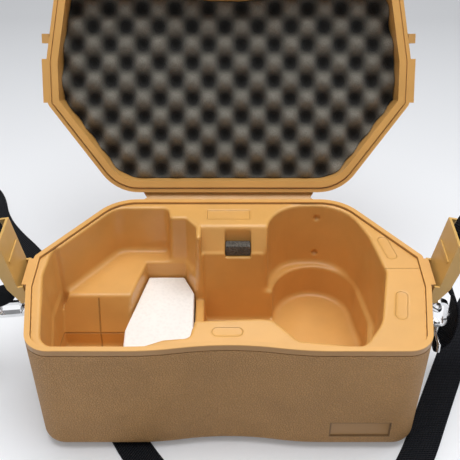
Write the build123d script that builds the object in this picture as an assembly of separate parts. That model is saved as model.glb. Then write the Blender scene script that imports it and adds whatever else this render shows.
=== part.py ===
from build123d import *

import os
from math import cos, radians, sin, tan

# A hard case for camera gear: moulded base and lid, a double fold hinge strip, two side latches
# and a webbing strap with a snap hook at each end. Millimetres, X to the right, front towards -Y.
# The origin is under the middle of the case, on the surface that its feet stand on.

# Case outline, seen from above
HALF_LENGTH = 149.2
HALF_DEPTH = 86.0
CHAMFER_X = 94.4
CHAMFER_Y = 12.8
SIDE_BREAK_Y = -22.0
FRONT_HALF = 138.4
BACK_RADIUS = 38.0
SIDE_RADIUS = 6.0
BREAK_RADIUS = 12.0
FRONT_RADIUS = 19.0
WAVE_HALF = 70.0
WAVE_DEPTH = 5.5

# Base shell
FOOT_HEIGHT = 3.2
BASE_HEIGHT = 109.0
WALL = 3.0
DRAFT = 0.5
BOTTOM_RADIUS = 8.0
RIM_LIP = 4.0
RIM_DEPTH = 4.5
LEDGE_INSET = 6.5
LEDGE_DEPTH = 6.0
BAND_HEIGHT = 5.2
BAND_GROOVE = 0.7
FOOT_RADIUS = 7.0
FOOT_X = 118.0
FOOT_Y = 62.0
BACK_FOOT_SHARE = 0.8
BADGE = (44.0, 15.0, 1.1)
BADGE_X = 97.2
BADGE_Z = 23.5

# Base tray
TRAY_WALL = 2.5
TRAY_GAP = 0.3
DECK_DROP = 2.0
SHELF_Z = 62.0
FLOOR_Z = 14.5
LEDGE_Z = 46.0
NOTCH_Z = 83.0
POCKET_DRAFT = 1.5
NOTCH_X = (-2.9, 18.1)
NOTCH_BACK = 50.9
PAD_EDGE_Y = 52.2
PAD_FOOT_Y = 41.0
PAD_FOOT_Z = 88.0
CAVITY_X = (-22.0, 31.0)
PARTITION_TOP = 40.0
WELL_CENTRE = (72.0, 36.5)
WELL_RADIUS = 37.0
LABEL_DEPTH = 0.6

# Foam
BLOCK_THICKNESS = 32.5
FOAM_GAP = 0.3
PAD_HEIGHT = 10.0
PAD_THICKNESS = 8.0

# Lid
LID_HEIGHT = 45.0
LID_WALL = 3.0
LID_TOP_RADIUS = 9.0
RIM_GAP = 0.06
FRAME_GAP = 0.3
FRAME_INNER = 9.6
FRAME_WALL = 2.4
FRAME_PROUD = 1.4
FRAME_DEPTH = 24.0
LID_FOAM_BASE = 20.0
LID_FOAM_PEAK = 10.0
PEAK_PITCH = 27.5
PEAK_SHIFT = 10.75
PEAK_ROW = 14.93
PEAK_RADIUS = 9.4

# Hinge strip
FOLD_DROP = 5.0
STRIP_THICKNESS = 1.6
STRIP_GAP = 0.1
STRIP_BASE_HALF = 77.5
STRIP_LID_HALF = 72.0
OPEN_ANGLE = 117.5

# Latches
LUG_FRONT = -19.8
LUG_BACK = 9.6
LUG_REACH = 3.6
PIVOT_OUT = 2.0
PIVOT_Z = 94.5
PIN_RADIUS = 0.9
PIN_FIT = 0.05
LATCH_PLATE = 2.0
LATCH_GAP = 0.3
LATCH_TOP = 54.0
FLANGE_DEPTH = 8.5
FLANGE_THICKNESS = 1.9
EAR_GAP = 0.2
EAR_TOP = 13.5
EAR_RADIUS = 1.9
LATCH_REST = 10.0
LID_LUG_FRONT = -24.0
LID_LUG_BACK = 11.4
LID_LUG_TOP = 19.0
CATCH_REACH = 1.0
NUB_LENGTH = 7.5
NUB_GAP = 16.7
NUB_X = 152.0
NUB_LIFT = 0.4
NUB_TOP = 7.0

# Ring, bracket and snap hook
RING_Z = 84.0
RING_WIRE = 1.5
RING_FIT = 0.1
RING_HALF = 12.0
RING_REACH = 15.0
BARREL_RADIUS = 3.0
BARREL_HALF = 8.5
BRACKET_PLATE = 1.5
BRACKET_HEIGHT = 22.0
RIVET_RADIUS = 2.6
RIVET_DROP = 18.0
RIVET_HEAD = 1.0
RIVET_HALF = 4.5
HOOK_THICKNESS = 5.0
HOOK_WALL = 3.0
HOOK_HALF = 7.2
HOOK_LENGTH = 20.0
HOOK_GAP = 0.3
GATE_THICKNESS = 2.8
GATE_PIN = 0.7
SWIVEL_RADIUS = 3.8
SWIVEL_LENGTH = 6.0
POST_RADIUS = 1.5
EYE_WIRE = 1.5
EYE_DEPTH = 8.0
RING_ANGLE = {"right": -42.0, "left": -58.0}
HOOK_ANGLE = {"right": -87.0, "left": -6.0}

# Strap
STRAP_WIDTH = 25.0
STRAP_THICKNESS = 1.8
STRAP_Y = -5.0
STRAP_FIT = 0.35

RIM_Z = BASE_HEIGHT
DECK_Z = BASE_HEIGHT - DECK_DROP
FOLD_Y = HALF_DEPTH + STRIP_THICKNESS / 2 + STRIP_GAP
FOLD_Z = BASE_HEIGHT - FOLD_DROP
LUG_X = HALF_LENGTH + LUG_REACH
PIVOT_X = HALF_LENGTH + PIVOT_OUT
RING_X = HALF_LENGTH + BRACKET_PLATE + 0.3 + BARREL_RADIUS - 1.0
EYE_INNER = STRAP_WIDTH / 2 + STRAP_FIT


def corners_face(points, radii):
    """A flat face from corner points and one radius for each corner."""
    return make_face(FilletPolyline(*points, radius=radii, close=True).edges())


def wave_arcs():
    """The shallow wave in the front wall: three tangent arcs from right to left."""
    half = WAVE_HALF / 2
    radius = (half**2 + (WAVE_DEPTH / 2) ** 2) / WAVE_DEPTH
    front = -HALF_DEPTH
    quarter = WAVE_HALF - half / 2
    dip = radius - (radius**2 - (half / 2) ** 2) ** 0.5
    return [
        ThreePointArc((WAVE_HALF, front), (quarter, front + dip), (half, front + WAVE_DEPTH / 2)),
        ThreePointArc(
            (half, front + WAVE_DEPTH / 2), (0, front + WAVE_DEPTH), (-half, front + WAVE_DEPTH / 2)
        ),
        ThreePointArc((-half, front + WAVE_DEPTH / 2), (-quarter, front + dip), (-WAVE_HALF, front)),
    ]


def outline(inset=0.0):
    """The case outline at the parting plane, drawn in by inset."""
    right = [
        (WAVE_HALF, -HALF_DEPTH),
        (FRONT_HALF, -HALF_DEPTH),
        (HALF_LENGTH, SIDE_BREAK_Y),
        (HALF_LENGTH, CHAMFER_Y),
        (CHAMFER_X, HALF_DEPTH),
    ]
    left = [(-x, y) for x, y in reversed(right)]
    radii = [FRONT_RADIUS, BREAK_RADIUS, SIDE_RADIUS, BACK_RADIUS]
    rounded = FilletPolyline(*right, *left, radius=radii + radii[::-1])
    face = make_face(rounded.edges() + [arc.edge() for arc in wave_arcs()])
    return offset(face, amount=-inset) if inset else face


def slab(face, low, high):
    """The face made solid between two heights."""
    return extrude(Pos(0, 0, low) * face, amount=high - low)


def drafted(face, top, depth, taper):
    """The face at height top, going down by depth and drawn in by the taper angle."""
    return extrude(Pos(0, 0, top) * face, amount=depth, dir=(0, 0, -1), taper=taper)


def box(x, y, z):
    """A box from its low and high values along each axis."""
    centre = ((x[0] + x[1]) / 2, (y[0] + y[1]) / 2, (z[0] + z[1]) / 2)
    return Pos(*centre) * Box(x[1] - x[0], y[1] - y[0], z[1] - z[0])


def rod_y(x, z, radius, low, high):
    """A round rod along Y."""
    return Pos(x, (low + high) / 2, z) * Rot(90, 0, 0) * Cylinder(radius, high - low)


def upright(face, low, high):
    """A face drawn in x and z, made solid between two values of y."""
    return Pos(0, high, 0) * Rot(90, 0, 0) * extrude(face, amount=high - low)


def mirrored(solid, side):
    """The right-hand piece, or its mirror image on the left."""
    return solid if side == "right" else mirror(solid, about=Plane.YZ)


def base_lug():
    """The block on the base's right side that carries the latch pin."""
    nose = rod_y(PIVOT_X, PIVOT_Z, LUG_REACH - PIVOT_OUT, LUG_FRONT, LUG_BACK)
    nose += box((PIVOT_X - WALL, PIVOT_X), (LUG_FRONT, LUG_BACK), (PIVOT_Z - 1.6, PIVOT_Z + 1.6))
    block = box((PIVOT_X - WALL, LUG_X), (LUG_FRONT, LUG_BACK), (PIVOT_Z, RIM_Z))
    bore = rod_y(PIVOT_X, PIVOT_Z, PIN_RADIUS + PIN_FIT, LUG_FRONT - 1, LUG_BACK + 1)
    return nose + block, bore


def base_shell():
    """The outer moulding: walls, rim, feet, latch lugs and the bare badge recess."""
    height = BASE_HEIGHT - FOOT_HEIGHT
    outer = drafted(outline(), RIM_Z, height, DRAFT)
    bottom = outer.faces().sort_by(Axis.Z)[0]
    outer = fillet(bottom.edges(), BOTTOM_RADIUS)
    inner = drafted(outline(WALL), RIM_Z + 1, height - WALL + 1, DRAFT)
    inner = fillet(inner.faces().sort_by(Axis.Z)[0].edges(), BOTTOM_RADIUS - WALL)
    ledge_low = RIM_Z - RIM_DEPTH - LEDGE_DEPTH
    ledge = slab(outline(WALL / 2) - outline(LEDGE_INSET), ledge_low, RIM_Z - RIM_DEPTH)
    for solid in pockets(TRAY_WALL + TRAY_GAP):
        ledge -= solid
    lip = slab(outline(WALL / 2) - outline(RIM_LIP), RIM_Z - RIM_DEPTH, RIM_Z)
    shell = outer - inner + ledge + lip
    groove_z = RIM_Z - BAND_HEIGHT
    ring = outline(-1) - outline(BAND_GROOVE)
    shell -= slab(ring, groove_z - BAND_GROOVE, groove_z)
    lug, bore = base_lug()
    for side in ("right", "left"):
        shell += mirrored(lug, side)
        shell -= mirrored(bore, side)
    foot = Cylinder(FOOT_RADIUS, FOOT_HEIGHT + 1, align=(Align.CENTER, Align.CENTER, Align.MIN))
    for x in (-FOOT_X, FOOT_X):
        for y in (-FOOT_Y, FOOT_Y):
            shell += Pos(x if y < 0 else x * BACK_FOOT_SHARE, y, 0) * foot
    shell += foot
    width, tall, depth = BADGE
    front = -HALF_DEPTH + (RIM_Z - BADGE_Z) * tan(radians(DRAFT))
    recess = box(
        (BADGE_X - width / 2, BADGE_X + width / 2),
        (front - 2, front + depth),
        (BADGE_Z - tall / 2, BADGE_Z + tall / 2),
    )
    return shell - recess


def left_mouth():
    """The open top of the left compartment, down to its shelf."""
    points = [
        (-94.1, 76.4),
        (-50.5, 76.4),
        (-48.0, 62.8),
        (-34.9, 62.8),
        (-26.5, 51.5),
        (-24.5, -55.0),
        (-27.0, -71.5),
        (-45.0, -73.3),
        (-58.0, -79.0),
        (-128.5, -80.1),
        (-139.5, -6.0),
        (-137.8, 18.0),
    ]
    radii = [16.0, 5.0, 3.0, 3.0, 4.0, 3.0, 5.0, 6.0, 8.0, 14.0, 12.0, 8.0]
    return corners_face(points, radii)


def left_floor():
    """The deep front part of the left compartment."""
    points = [(-137.0, 16.0), (-72.0, 16.0), (-72.0, -76.0), (-127.8, -79.2), (-138.7, -6.0)]
    return corners_face(points, [2.0, 2.0, 6.0, 13.0, 11.0])


def block_slot():
    """The slot beside the shelf that holds the white foam block."""
    points = [(-70.6, 60.4), (-36.0, 60.4), (-26.0, 38.0), (-24.8, -62.0), (-84.0, -72.0), (-86.0, -6.0)]
    return corners_face(points, [2.0, 4.0, 4.0, 4.0, 4.0, 8.0])


def cavity():
    """The deep space in the middle."""
    low, high = CAVITY_X
    points = [(low, PAD_FOOT_Y), (high + 8, PAD_FOOT_Y), (high + 8, -52.0), (low, -55.0)]
    return corners_face(points, [3.0, 3.0, 4.0, 4.0])


def well_mouth():
    """The rounded well on the right, down to its ledge."""
    points = [
        (31.0, 44.0),
        (34.0, 80.0),
        (96.0, 80.0),
        (111.5, 40.0),
        (119.0, -3.0),
        (108.0, -57.0),
        (93.0, -80.0),
        (47.6, -74.2),
        (32.0, -53.4),
        (24.0, -53.0),
        (24.0, 36.0),
    ]
    radii = [4.0, 32.0, 34.0, 40.0, 12.0, 30.0, 11.0, 8.0, 4.0, 2.0, 2.0]
    return corners_face(points, radii)


def well_floor():
    """The lower part of the well, inside its ledge."""
    x, y = WELL_CENTRE
    front = [
        (x - WELL_RADIUS + 0.4, y + 4.0),
        (27.0, 12.0),
        (27.0, -50.0),
        (48.0, -70.0),
        (88.0, -74.0),
        (105.0, -50.0),
        (114.0, 4.0),
        (x + WELL_RADIUS - 0.4, y + 4.0),
    ]
    return corners_face(front, [1.0, 8.0, 4.0, 8.0, 10.0, 20.0, 16.0, 1.0]) + Pos(x, y) * Circle(WELL_RADIUS)


def pockets(grow=0.0):
    """The tray's compartments as solids, each grown outwards and down by grow."""
    plans = [
        (left_mouth(), SHELF_Z),
        (left_floor(), FLOOR_Z),
        (block_slot(), FLOOR_Z),
        (cavity(), FLOOR_Z),
        (well_mouth(), LEDGE_Z),
        (well_floor(), FLOOR_Z),
    ]
    above = 0.0 if grow else 1.0
    solids = []
    for face, floor in plans:
        wide = offset(face, amount=grow) if grow else face
        depth = DECK_Z - floor + grow + above
        solids.append(drafted(wide, DECK_Z + above, depth, POCKET_DRAFT))
    return solids


def pad_slope():
    """The sloped edge between the rear deck and the middle cavity."""
    low, high = CAVITY_X
    side = make_face(
        Polyline(
            (PAD_FOOT_Y - 4, DECK_Z + 1),
            (PAD_EDGE_Y + 0.5, DECK_Z + 1),
            (PAD_EDGE_Y, DECK_Z),
            (PAD_FOOT_Y + 1, PAD_FOOT_Z),
            (PAD_FOOT_Y - 4, PAD_FOOT_Z),
            close=True,
        )
    )
    along = extrude(side, amount=high + 2 - low)
    return Pos(low, 0, 0) * Rot(0, 90, 0) * Rot(0, 0, 90) * along


def deck_marks():
    """Shallow bare recesses and the seam across the right deck."""
    z = DECK_Z - LABEL_DEPTH
    oval = SlotOverall(21.5, 8.5)
    marks = [
        Pos(0, 67.6, z) * extrude(Rectangle(35.8, 12.2), amount=2),
        Pos(-0.8, -65.9, z) * extrude(oval, amount=2),
        Pos(124.7, -39.5, z) * Rot(0, 0, 90) * extrude(SlotOverall(29.0, 8.5), amount=2),
        Pos(124.3, 26.0, z) * Rot(0, 0, -68) * extrude(SlotOverall(27.0, 8.0), amount=2),
        box((119.0, 146.0), (0.0, LABEL_DEPTH), (z, DECK_Z + 1)),
    ]
    return marks


def base_tray():
    """The inner moulding: a deck with thin-walled compartments hanging from it."""
    tray = slab(outline(RIM_LIP + TRAY_GAP), DECK_Z - TRAY_WALL, DECK_Z)
    for solid in pockets(TRAY_WALL):
        tray += solid
    tray += box((-26.0, 36.0), (36.0, 55.0), (NOTCH_Z - TRAY_WALL, DECK_Z - 0.5))
    tray &= slab(outline(RIM_LIP + TRAY_GAP), 0, DECK_Z)
    for solid in pockets():
        tray -= solid
    tray -= pad_slope()
    tray -= box(NOTCH_X, (PAD_FOOT_Y - 2, NOTCH_BACK), (NOTCH_Z, DECK_Z + 1))
    tray -= box((-30.0, CAVITY_X[0] + 2), (-54.0, PAD_FOOT_Y - 4), (PARTITION_TOP, DECK_Z + 1))
    for mark in deck_marks():
        tray -= mark
    return tray


def foam_block():
    """The white foam block that fills the slot beside the shelf."""
    drawn_in = (DECK_Z - FLOOR_Z) * tan(radians(POCKET_DRAFT))
    plan = offset(block_slot(), amount=-drawn_in - FOAM_GAP)
    return slab(plan, FLOOR_Z + FOAM_GAP, FLOOR_Z + BLOCK_THICKNESS)


def foam_pad():
    """The small grey pad standing in the notch of the rear deck."""
    low, high = NOTCH_X
    y = NOTCH_BACK - FOAM_GAP
    z = NOTCH_Z + FOAM_GAP
    return box((low + FOAM_GAP, high - FOAM_GAP), (y - PAD_THICKNESS, y), (z, z + PAD_HEIGHT))


def lid_lug():
    """The catch block on the lid's right side, and the small nub in front of it."""
    root = HALF_LENGTH - LID_WALL
    span = (LID_LUG_FRONT, LID_LUG_BACK)
    block = box((root, LUG_X), span, (RIM_Z + RIM_GAP, RIM_Z + LID_LUG_TOP))
    start = LUG_FRONT - NUB_GAP
    nub = box((root, NUB_X), (start - NUB_LENGTH, start), (RIM_Z + NUB_LIFT, RIM_Z + NUB_TOP))
    return block + nub


def lid_shell():
    """The lid's outer moulding, in its closed place."""
    low = RIM_Z + RIM_GAP
    outer = extrude(Pos(0, 0, low) * outline(), amount=LID_HEIGHT - RIM_GAP, taper=DRAFT)
    outer = fillet(outer.faces().sort_by(Axis.Z)[-1].edges(), LID_TOP_RADIUS)
    inside = Pos(0, 0, RIM_Z - 1) * outline(LID_WALL)
    inner = extrude(inside, amount=LID_HEIGHT - LID_WALL + 1, taper=DRAFT)
    inner = fillet(inner.faces().sort_by(Axis.Z)[-1].edges(), LID_TOP_RADIUS - LID_WALL)
    shell = outer - inner
    groove_z = RIM_Z + BAND_HEIGHT
    shell -= slab(outline(-1) - outline(BAND_GROOVE), groove_z, groove_z + BAND_GROOVE)
    for side in ("right", "left"):
        shell += mirrored(lid_lug(), side) - slab(outline(LID_WALL), RIM_Z - 1, RIM_Z + LID_HEIGHT)
    return shell


def lid_frame():
    """The ring inside the lid's rim, with the proud band that enters the base."""
    start = LID_WALL + FRAME_GAP
    band = slab(outline(RIM_LIP + 0.4) - outline(FRAME_INNER), RIM_Z - FRAME_PROUD, RIM_Z + 2)
    band += slab(outline(start) - outline(FRAME_INNER), RIM_Z + 0.6, RIM_Z + 2)
    wall = slab(
        outline(FRAME_INNER - FRAME_WALL) - outline(FRAME_INNER), RIM_Z + 1, RIM_Z + FRAME_DEPTH
    )
    return band + wall


def peak_places():
    """Centres of the foam's peaks: staggered rows inside the lid."""
    rows = int(2 * (HALF_DEPTH - FRAME_INNER) / PEAK_ROW)
    columns = int(HALF_LENGTH / PEAK_PITCH)
    places = []
    for row in range(rows):
        y = HALF_DEPTH - FRAME_INNER - 7.5 - row * PEAK_ROW
        shift = 0.5 * (row % 2)
        for column in range(-columns - 1, columns + 1):
            places.append(((column + shift) * PEAK_PITCH + PEAK_SHIFT, y))
    return places


def lid_foam():
    """The egg-crate foam in the lid: a slab with rows of rounded peaks."""
    top = RIM_Z + LID_HEIGHT - LID_WALL - FOAM_GAP
    bottom = top - LID_FOAM_BASE
    plan = outline(FRAME_INNER + FOAM_GAP)
    foam = slab(plan, bottom, top)
    room = outline(FRAME_INNER + FOAM_GAP + PEAK_RADIUS)
    peak = Cone(PEAK_RADIUS, PEAK_RADIUS * 0.45, LID_FOAM_PEAK, align=(Align.CENTER, Align.CENTER, Align.MIN))
    peaks = []
    for x, y in peak_places():
        if room.face().is_inside((x, y, 0)):
            peaks.append(Pos(x, y, bottom) * Rot(180, 0, 0) * peak)
    print("foam peaks", len(peaks))
    return foam + peaks


def hinge_strip():
    """The flexible strip between base and lid, standing in its closed place."""
    length = 2 * FOLD_DROP
    waist = 3.0
    right = [(STRIP_BASE_HALF, 0.0), (STRIP_LID_HALF - waist, length / 2), (STRIP_LID_HALF, length)]
    left = [(-x, z) for x, z in reversed(right)]
    plan = make_face(Polyline(*right, *left, close=True))
    half = STRIP_THICKNESS / 2
    return Pos(0, FOLD_Y, FOLD_Z) * upright(plan, -half, half)


def latch_arm():
    """The right-hand latch in its closed place: plate, side flanges, ears and inner catch."""
    inner = LUG_X + LATCH_GAP
    outer = inner + LATCH_PLATE
    front = LUG_FRONT - EAR_GAP - FLANGE_THICKNESS
    back = LUG_BACK + EAR_GAP + FLANGE_THICKNESS
    low = PIVOT_Z - 2.2
    top = PIVOT_Z + LATCH_TOP
    arm = box((inner, outer), (front, back), (low, top))
    cheek = make_face(
        Polyline(
            (outer, low),
            (outer + FLANGE_DEPTH * 0.75, PIVOT_Z + 13),
            (outer + FLANGE_DEPTH, PIVOT_Z + 39),
            (outer + FLANGE_DEPTH * 0.55, top),
            (inner, top),
            (inner, low),
            close=True,
        )
    )
    ear = make_face(
        Polyline(
            (PIVOT_X, PIVOT_Z - EAR_RADIUS),
            (outer, PIVOT_Z - EAR_RADIUS),
            (outer, PIVOT_Z + EAR_TOP),
            (PIVOT_X - EAR_RADIUS, PIVOT_Z + EAR_TOP),
            (PIVOT_X - EAR_RADIUS, PIVOT_Z),
            (PIVOT_X, PIVOT_Z),
            close=True,
        )
    ) + Pos(PIVOT_X, PIVOT_Z) * Circle(EAR_RADIUS)
    for low_y in (front, back - FLANGE_THICKNESS):
        high_y = low_y + FLANGE_THICKNESS
        arm += upright(cheek, low_y, high_y)
        arm += upright(ear, low_y, high_y)
    catch_z = RIM_Z + LID_LUG_TOP + LATCH_GAP
    arm += box((inner - CATCH_REACH, inner), (LUG_FRONT + 2, LUG_BACK - 2), (catch_z, catch_z + 2))
    arm -= rod_y(PIVOT_X, PIVOT_Z, PIN_RADIUS + PIN_FIT, front - 1, back + 1)
    return Pos(PIVOT_X, 0, PIVOT_Z) * Rot(0, LATCH_REST, 0) * Pos(-PIVOT_X, 0, -PIVOT_Z) * arm


def latch_pin():
    """The pin through the lug and both ears."""
    front = LUG_FRONT - EAR_GAP - FLANGE_THICKNESS
    back = LUG_BACK + EAR_GAP + FLANGE_THICKNESS
    return rod_y(PIVOT_X, PIVOT_Z, PIN_RADIUS, front, back)


def ring_bracket():
    """The pressed bracket on the right wall: a plate with a barrel for the ring."""
    back = RING_X - BARREL_RADIUS + 0.6
    plate = box(
        (back - BRACKET_PLATE, back),
        (STRAP_Y - BARREL_HALF, STRAP_Y + BARREL_HALF),
        (RING_Z - BRACKET_HEIGHT, RING_Z + BARREL_RADIUS),
    )
    barrel = rod_y(RING_X, RING_Z, BARREL_RADIUS, STRAP_Y - BARREL_HALF, STRAP_Y + BARREL_HALF)
    bore = rod_y(RING_X, RING_Z, RING_WIRE + RING_FIT, STRAP_Y - 20, STRAP_Y + 20)
    return plate + barrel - bore


def bracket_rivets():
    """Two round-headed rivets that hold the bracket to the wall."""
    face = RING_X - BARREL_RADIUS + 0.6
    heads = []
    for y in (STRAP_Y - RIVET_HALF, STRAP_Y + RIVET_HALF):
        head = Cylinder(RIVET_RADIUS, RIVET_HEAD, align=(Align.CENTER, Align.CENTER, Align.MIN))
        heads.append(Pos(face, y, RING_Z - RIVET_DROP) * Rot(0, 90, 0) * head)
    return heads[0] + heads[1]


def ring_tip(side):
    """Where the ring's far side is, in x and z on the right-hand side."""
    angle = radians(RING_ANGLE[side])
    return RING_X + RING_REACH * cos(angle), RING_Z + RING_REACH * sin(angle)


def d_ring(side):
    """The wire ring: a straight bar in the barrel and a round bow."""
    bow = RING_REACH - RING_HALF
    path = Wire(
        [
            Line((0, -RING_HALF), (bow, -RING_HALF)).edge(),
            ThreePointArc((bow, -RING_HALF), (RING_REACH, 0), (bow, RING_HALF)).edge(),
            Line((bow, RING_HALF), (0, RING_HALF)).edge(),
        ]
    )
    start = Plane(origin=(0, -RING_HALF, 0), z_dir=(1, 0, 0))
    wire = sweep(start * Circle(RING_WIRE), path=path)
    bar = Rot(90, 0, 0) * Cylinder(RING_WIRE, 2 * RING_HALF)
    ends = [Pos(0, y, 0) * Sphere(RING_WIRE) for y in (-RING_HALF, RING_HALF)]
    ring = wire + bar + ends
    return Pos(RING_X, STRAP_Y, RING_Z) * Rot(0, -RING_ANGLE[side], 0) * ring


def on_hook(side):
    """The place of the hook: its X axis runs from the ring to the swivel."""
    x, z = ring_tip(side)
    return Pos(x, STRAP_Y, z) * Rot(0, -HOOK_ANGLE[side], 0)


def hook_body(side):
    """The snap hook: an open link with a swivel socket."""
    near = -RING_WIRE - HOOK_GAP - HOOK_WALL
    far = near + HOOK_LENGTH + 2 * HOOK_WALL
    link = corners_face(
        [(near, -HOOK_HALF), (far, -HOOK_HALF), (far, HOOK_HALF), (near, HOOK_HALF)],
        [HOOK_HALF - 0.4, 3.5, 3.5, HOOK_HALF - 0.4],
    )
    link -= offset(link, amount=-HOOK_WALL)
    body = upright(link, -HOOK_THICKNESS / 2, HOOK_THICKNESS / 2)
    gate_z = (HOOK_HALF - HOOK_WALL - 1.0, HOOK_HALF + 1.0)
    body -= box((near + 5.5, far - 6.5), (-5, 5), gate_z)
    slot_half = GATE_THICKNESS / 2 + 0.2
    body -= box((far - 8.0, far - 3.4), (-slot_half, slot_half), gate_z)
    pivot_x, pivot_z = gate_pivot()
    body -= rod_y(pivot_x, pivot_z, GATE_PIN + PIN_FIT, -5, 5)
    socket = Pos(far - 0.5, 0, 0) * Rot(0, 90, 0)
    barrel = Cylinder(SWIVEL_RADIUS, SWIVEL_LENGTH + 0.5, align=(Align.CENTER, Align.CENTER, Align.MIN))
    body += socket * barrel
    bore = Cylinder(POST_RADIUS + PIN_FIT, 40, align=(Align.CENTER, Align.CENTER, Align.MIN))
    body -= Pos(far - HOOK_WALL - 1, 0, 0) * Rot(0, 90, 0) * bore
    return on_hook(side) * body


def gate_pivot():
    """The gate's pin, along and across the hook."""
    near = -RING_WIRE - HOOK_GAP - HOOK_WALL
    return near + HOOK_LENGTH + 2 * HOOK_WALL - 5.2, HOOK_HALF - HOOK_WALL / 2


def hook_gate(side):
    """The sprung gate of the snap hook, with its thumb nub and pin."""
    near = -RING_WIRE - HOOK_GAP - HOOK_WALL
    x, z = gate_pivot()
    half = GATE_THICKNESS / 2
    low = z - HOOK_WALL / 2 + 0.2
    high = z + HOOK_WALL / 2 - 0.2
    gate = box((near + 5.8, x), (-half, half), (low, high))
    gate += rod_y(x, z, HOOK_WALL / 2 - 0.2, -half, half)
    gate += box((x - 7.5, x - 5.0), (-half, half), (low, high + 2.2))
    gate += rod_y(x, z, GATE_PIN, -HOOK_THICKNESS / 2, HOOK_THICKNESS / 2)
    return on_hook(side) * gate


def eye_place():
    """Where the eye's inner and outer bars lie along the hook."""
    near = -RING_WIRE - HOOK_GAP - HOOK_WALL
    end = near + HOOK_LENGTH + 2 * HOOK_WALL + SWIVEL_LENGTH
    return end + EYE_WIRE + 0.4, end + EYE_WIRE + 0.4 + EYE_DEPTH


def hook_eye(side):
    """The swivel eye that holds the strap: a headed post and a rectangular loop."""
    inner, outer = eye_place()
    half = EYE_INNER + EYE_WIRE
    bar = Rot(90, 0, 0) * Cylinder(EYE_WIRE, 2 * half)
    rail = Rot(0, 90, 0) * Cylinder(EYE_WIRE, outer - inner)
    eye = Pos(inner, 0, 0) * bar + Pos(outer, 0, 0) * bar
    for y in (-half, half):
        eye += Pos((inner + outer) / 2, y, 0) * rail
        eye += Pos(inner, y, 0) * Sphere(EYE_WIRE)
        eye += Pos(outer, y, 0) * Sphere(EYE_WIRE)
    start = inner - SWIVEL_LENGTH - HOOK_WALL - 3.4
    post = Cylinder(POST_RADIUS, inner - start, align=(Align.CENTER, Align.CENTER, Align.MIN))
    head = Cylinder(POST_RADIUS + 0.9, 1.2, align=(Align.CENTER, Align.CENTER, Align.MIN))
    eye += Pos(start, 0, 0) * Rot(0, 90, 0) * post
    eye += Pos(start, 0, 0) * Rot(0, 90, 0) * head
    return on_hook(side) * eye


def bend_radii(points):
    """One radius for each corner of a path: as large as its two runs allow."""
    radii = []
    for before, here, after in zip(points, points[1:], points[2:]):
        a = Vector(*here) - Vector(*before)
        b = Vector(*after) - Vector(*here)
        half_turn = radians(a.get_angle(b)) / 2
        radii.append(0.45 * min(a.length, b.length) / tan(half_turn))
    return radii


def shifted(points, radii, shift):
    """The path moved sideways to its left by shift, with its corner radii."""
    corners = []
    new_radii = []
    count = len(points)
    for i, point in enumerate(points):
        before = Vector(*points[max(i - 1, 0)])
        after = Vector(*points[min(i + 1, count - 1)])
        here = Vector(*point)
        into = (here - before).normalized() if i else (after - here).normalized()
        out = (after - here).normalized() if i < count - 1 else into
        left_in = Vector(-into.Y, into.X)
        left_out = Vector(-out.Y, out.X)
        middle = (left_in + left_out).normalized()
        corners.append(here + middle * (shift / middle.dot(left_in)))
        if 0 < i < count - 1:
            turn = into.X * out.Y - into.Y * out.X
            new_radii.append(radii[i - 1] - shift if turn > 0 else radii[i - 1] + shift)
    return corners, new_radii


def ribbon_face(points, width):
    """A band of even width along a path of straight runs and tangent arcs."""
    radii = bend_radii(points)
    left, left_radii = shifted(points, radii, width / 2)
    right, right_radii = shifted(points, radii, -width / 2)
    edges = FilletPolyline(*left, radius=left_radii).edges()
    edges += FilletPolyline(*right, radius=right_radii).edges()
    edges += [Line(left[0], right[0]).edge(), Line(left[-1], right[-1]).edge()]
    length = FilletPolyline(*points, radius=radii).length
    print("  length", round(length, 1), "radii", [round(r, 1) for r in radii])
    return make_face(edges), length


# Strap routes. The rising parts are in x and z on their own side, the lying part in x and y.
FLOOR_MID = STRAP_THICKNESS / 2
LOOP_ROUTE = {
    "right": [
        (162.2, 112.0),
        (164.4, 130.0),
        (167.6, 148.0),
        (173.0, 160.5),
        (184.0, 162.0),
        (193.0, 147.0),
        (199.0, 118.0),
        (203.0, 80.0),
        (205.0, 40.0),
        (210.0, 12.0),
        (224.0, FLOOR_MID),
        (240.0, FLOOR_MID),
    ],
    "left": [
        (160.6, 103.0),
        (163.4, 122.0),
        (167.0, 142.0),
        (172.0, 155.5),
        (183.0, 158.0),
        (193.0, 146.0),
        (200.0, 118.0),
        (204.0, 80.0),
        (205.0, 40.0),
        (210.0, 12.0),
        (224.0, FLOOR_MID),
        (240.0, FLOOR_MID),
    ],
}
END_ROUTE = {
    "right": [
        (169.6, 37.6),
        (175.0, 43.0),
        (177.4, 56.0),
        (177.0, 74.0),
        (172.0, 89.0),
        (161.2, 103.8),
        (162.2, 112.0),
    ],
    "left": [(191.5, 79.0), (181.0, 81.6), (169.5, 85.4), (159.3, 94.2), (160.6, 103.0)],
}
FLOOR_ROUTE = [
    (240.0, -5.0),
    (266.0, -5.0),
    (293.0, 16.0),
    (297.0, 56.0),
    (272.0, 90.0),
    (236.0, 93.0),
    (214.0, 60.0),
    (187.0, 3.0),
    (160.0, -53.5),
    (139.0, -98.5),
    (108.0, -143.0),
    (58.0, -166.0),
    (4.0, -160.0),
    (-40.0, -127.0),
    (-76.0, -80.0),
    (-103.0, -22.0),
    (-131.0, 40.0),
    (-163.0, 98.0),
    (-195.0, 142.0),
    (-222.0, 172.0),
    (-240.0, 200.0),
    (-250.0, 232.0),
    (-264.0, 251.0),
    (-284.0, 246.0),
    (-288.0, 212.0),
    (-288.0, 160.0),
    (-284.0, 106.0),
    (-282.0, 50.0),
    (-273.0, 13.0),
    (-256.0, -5.0),
    (-240.0, -5.0),
]


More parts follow.
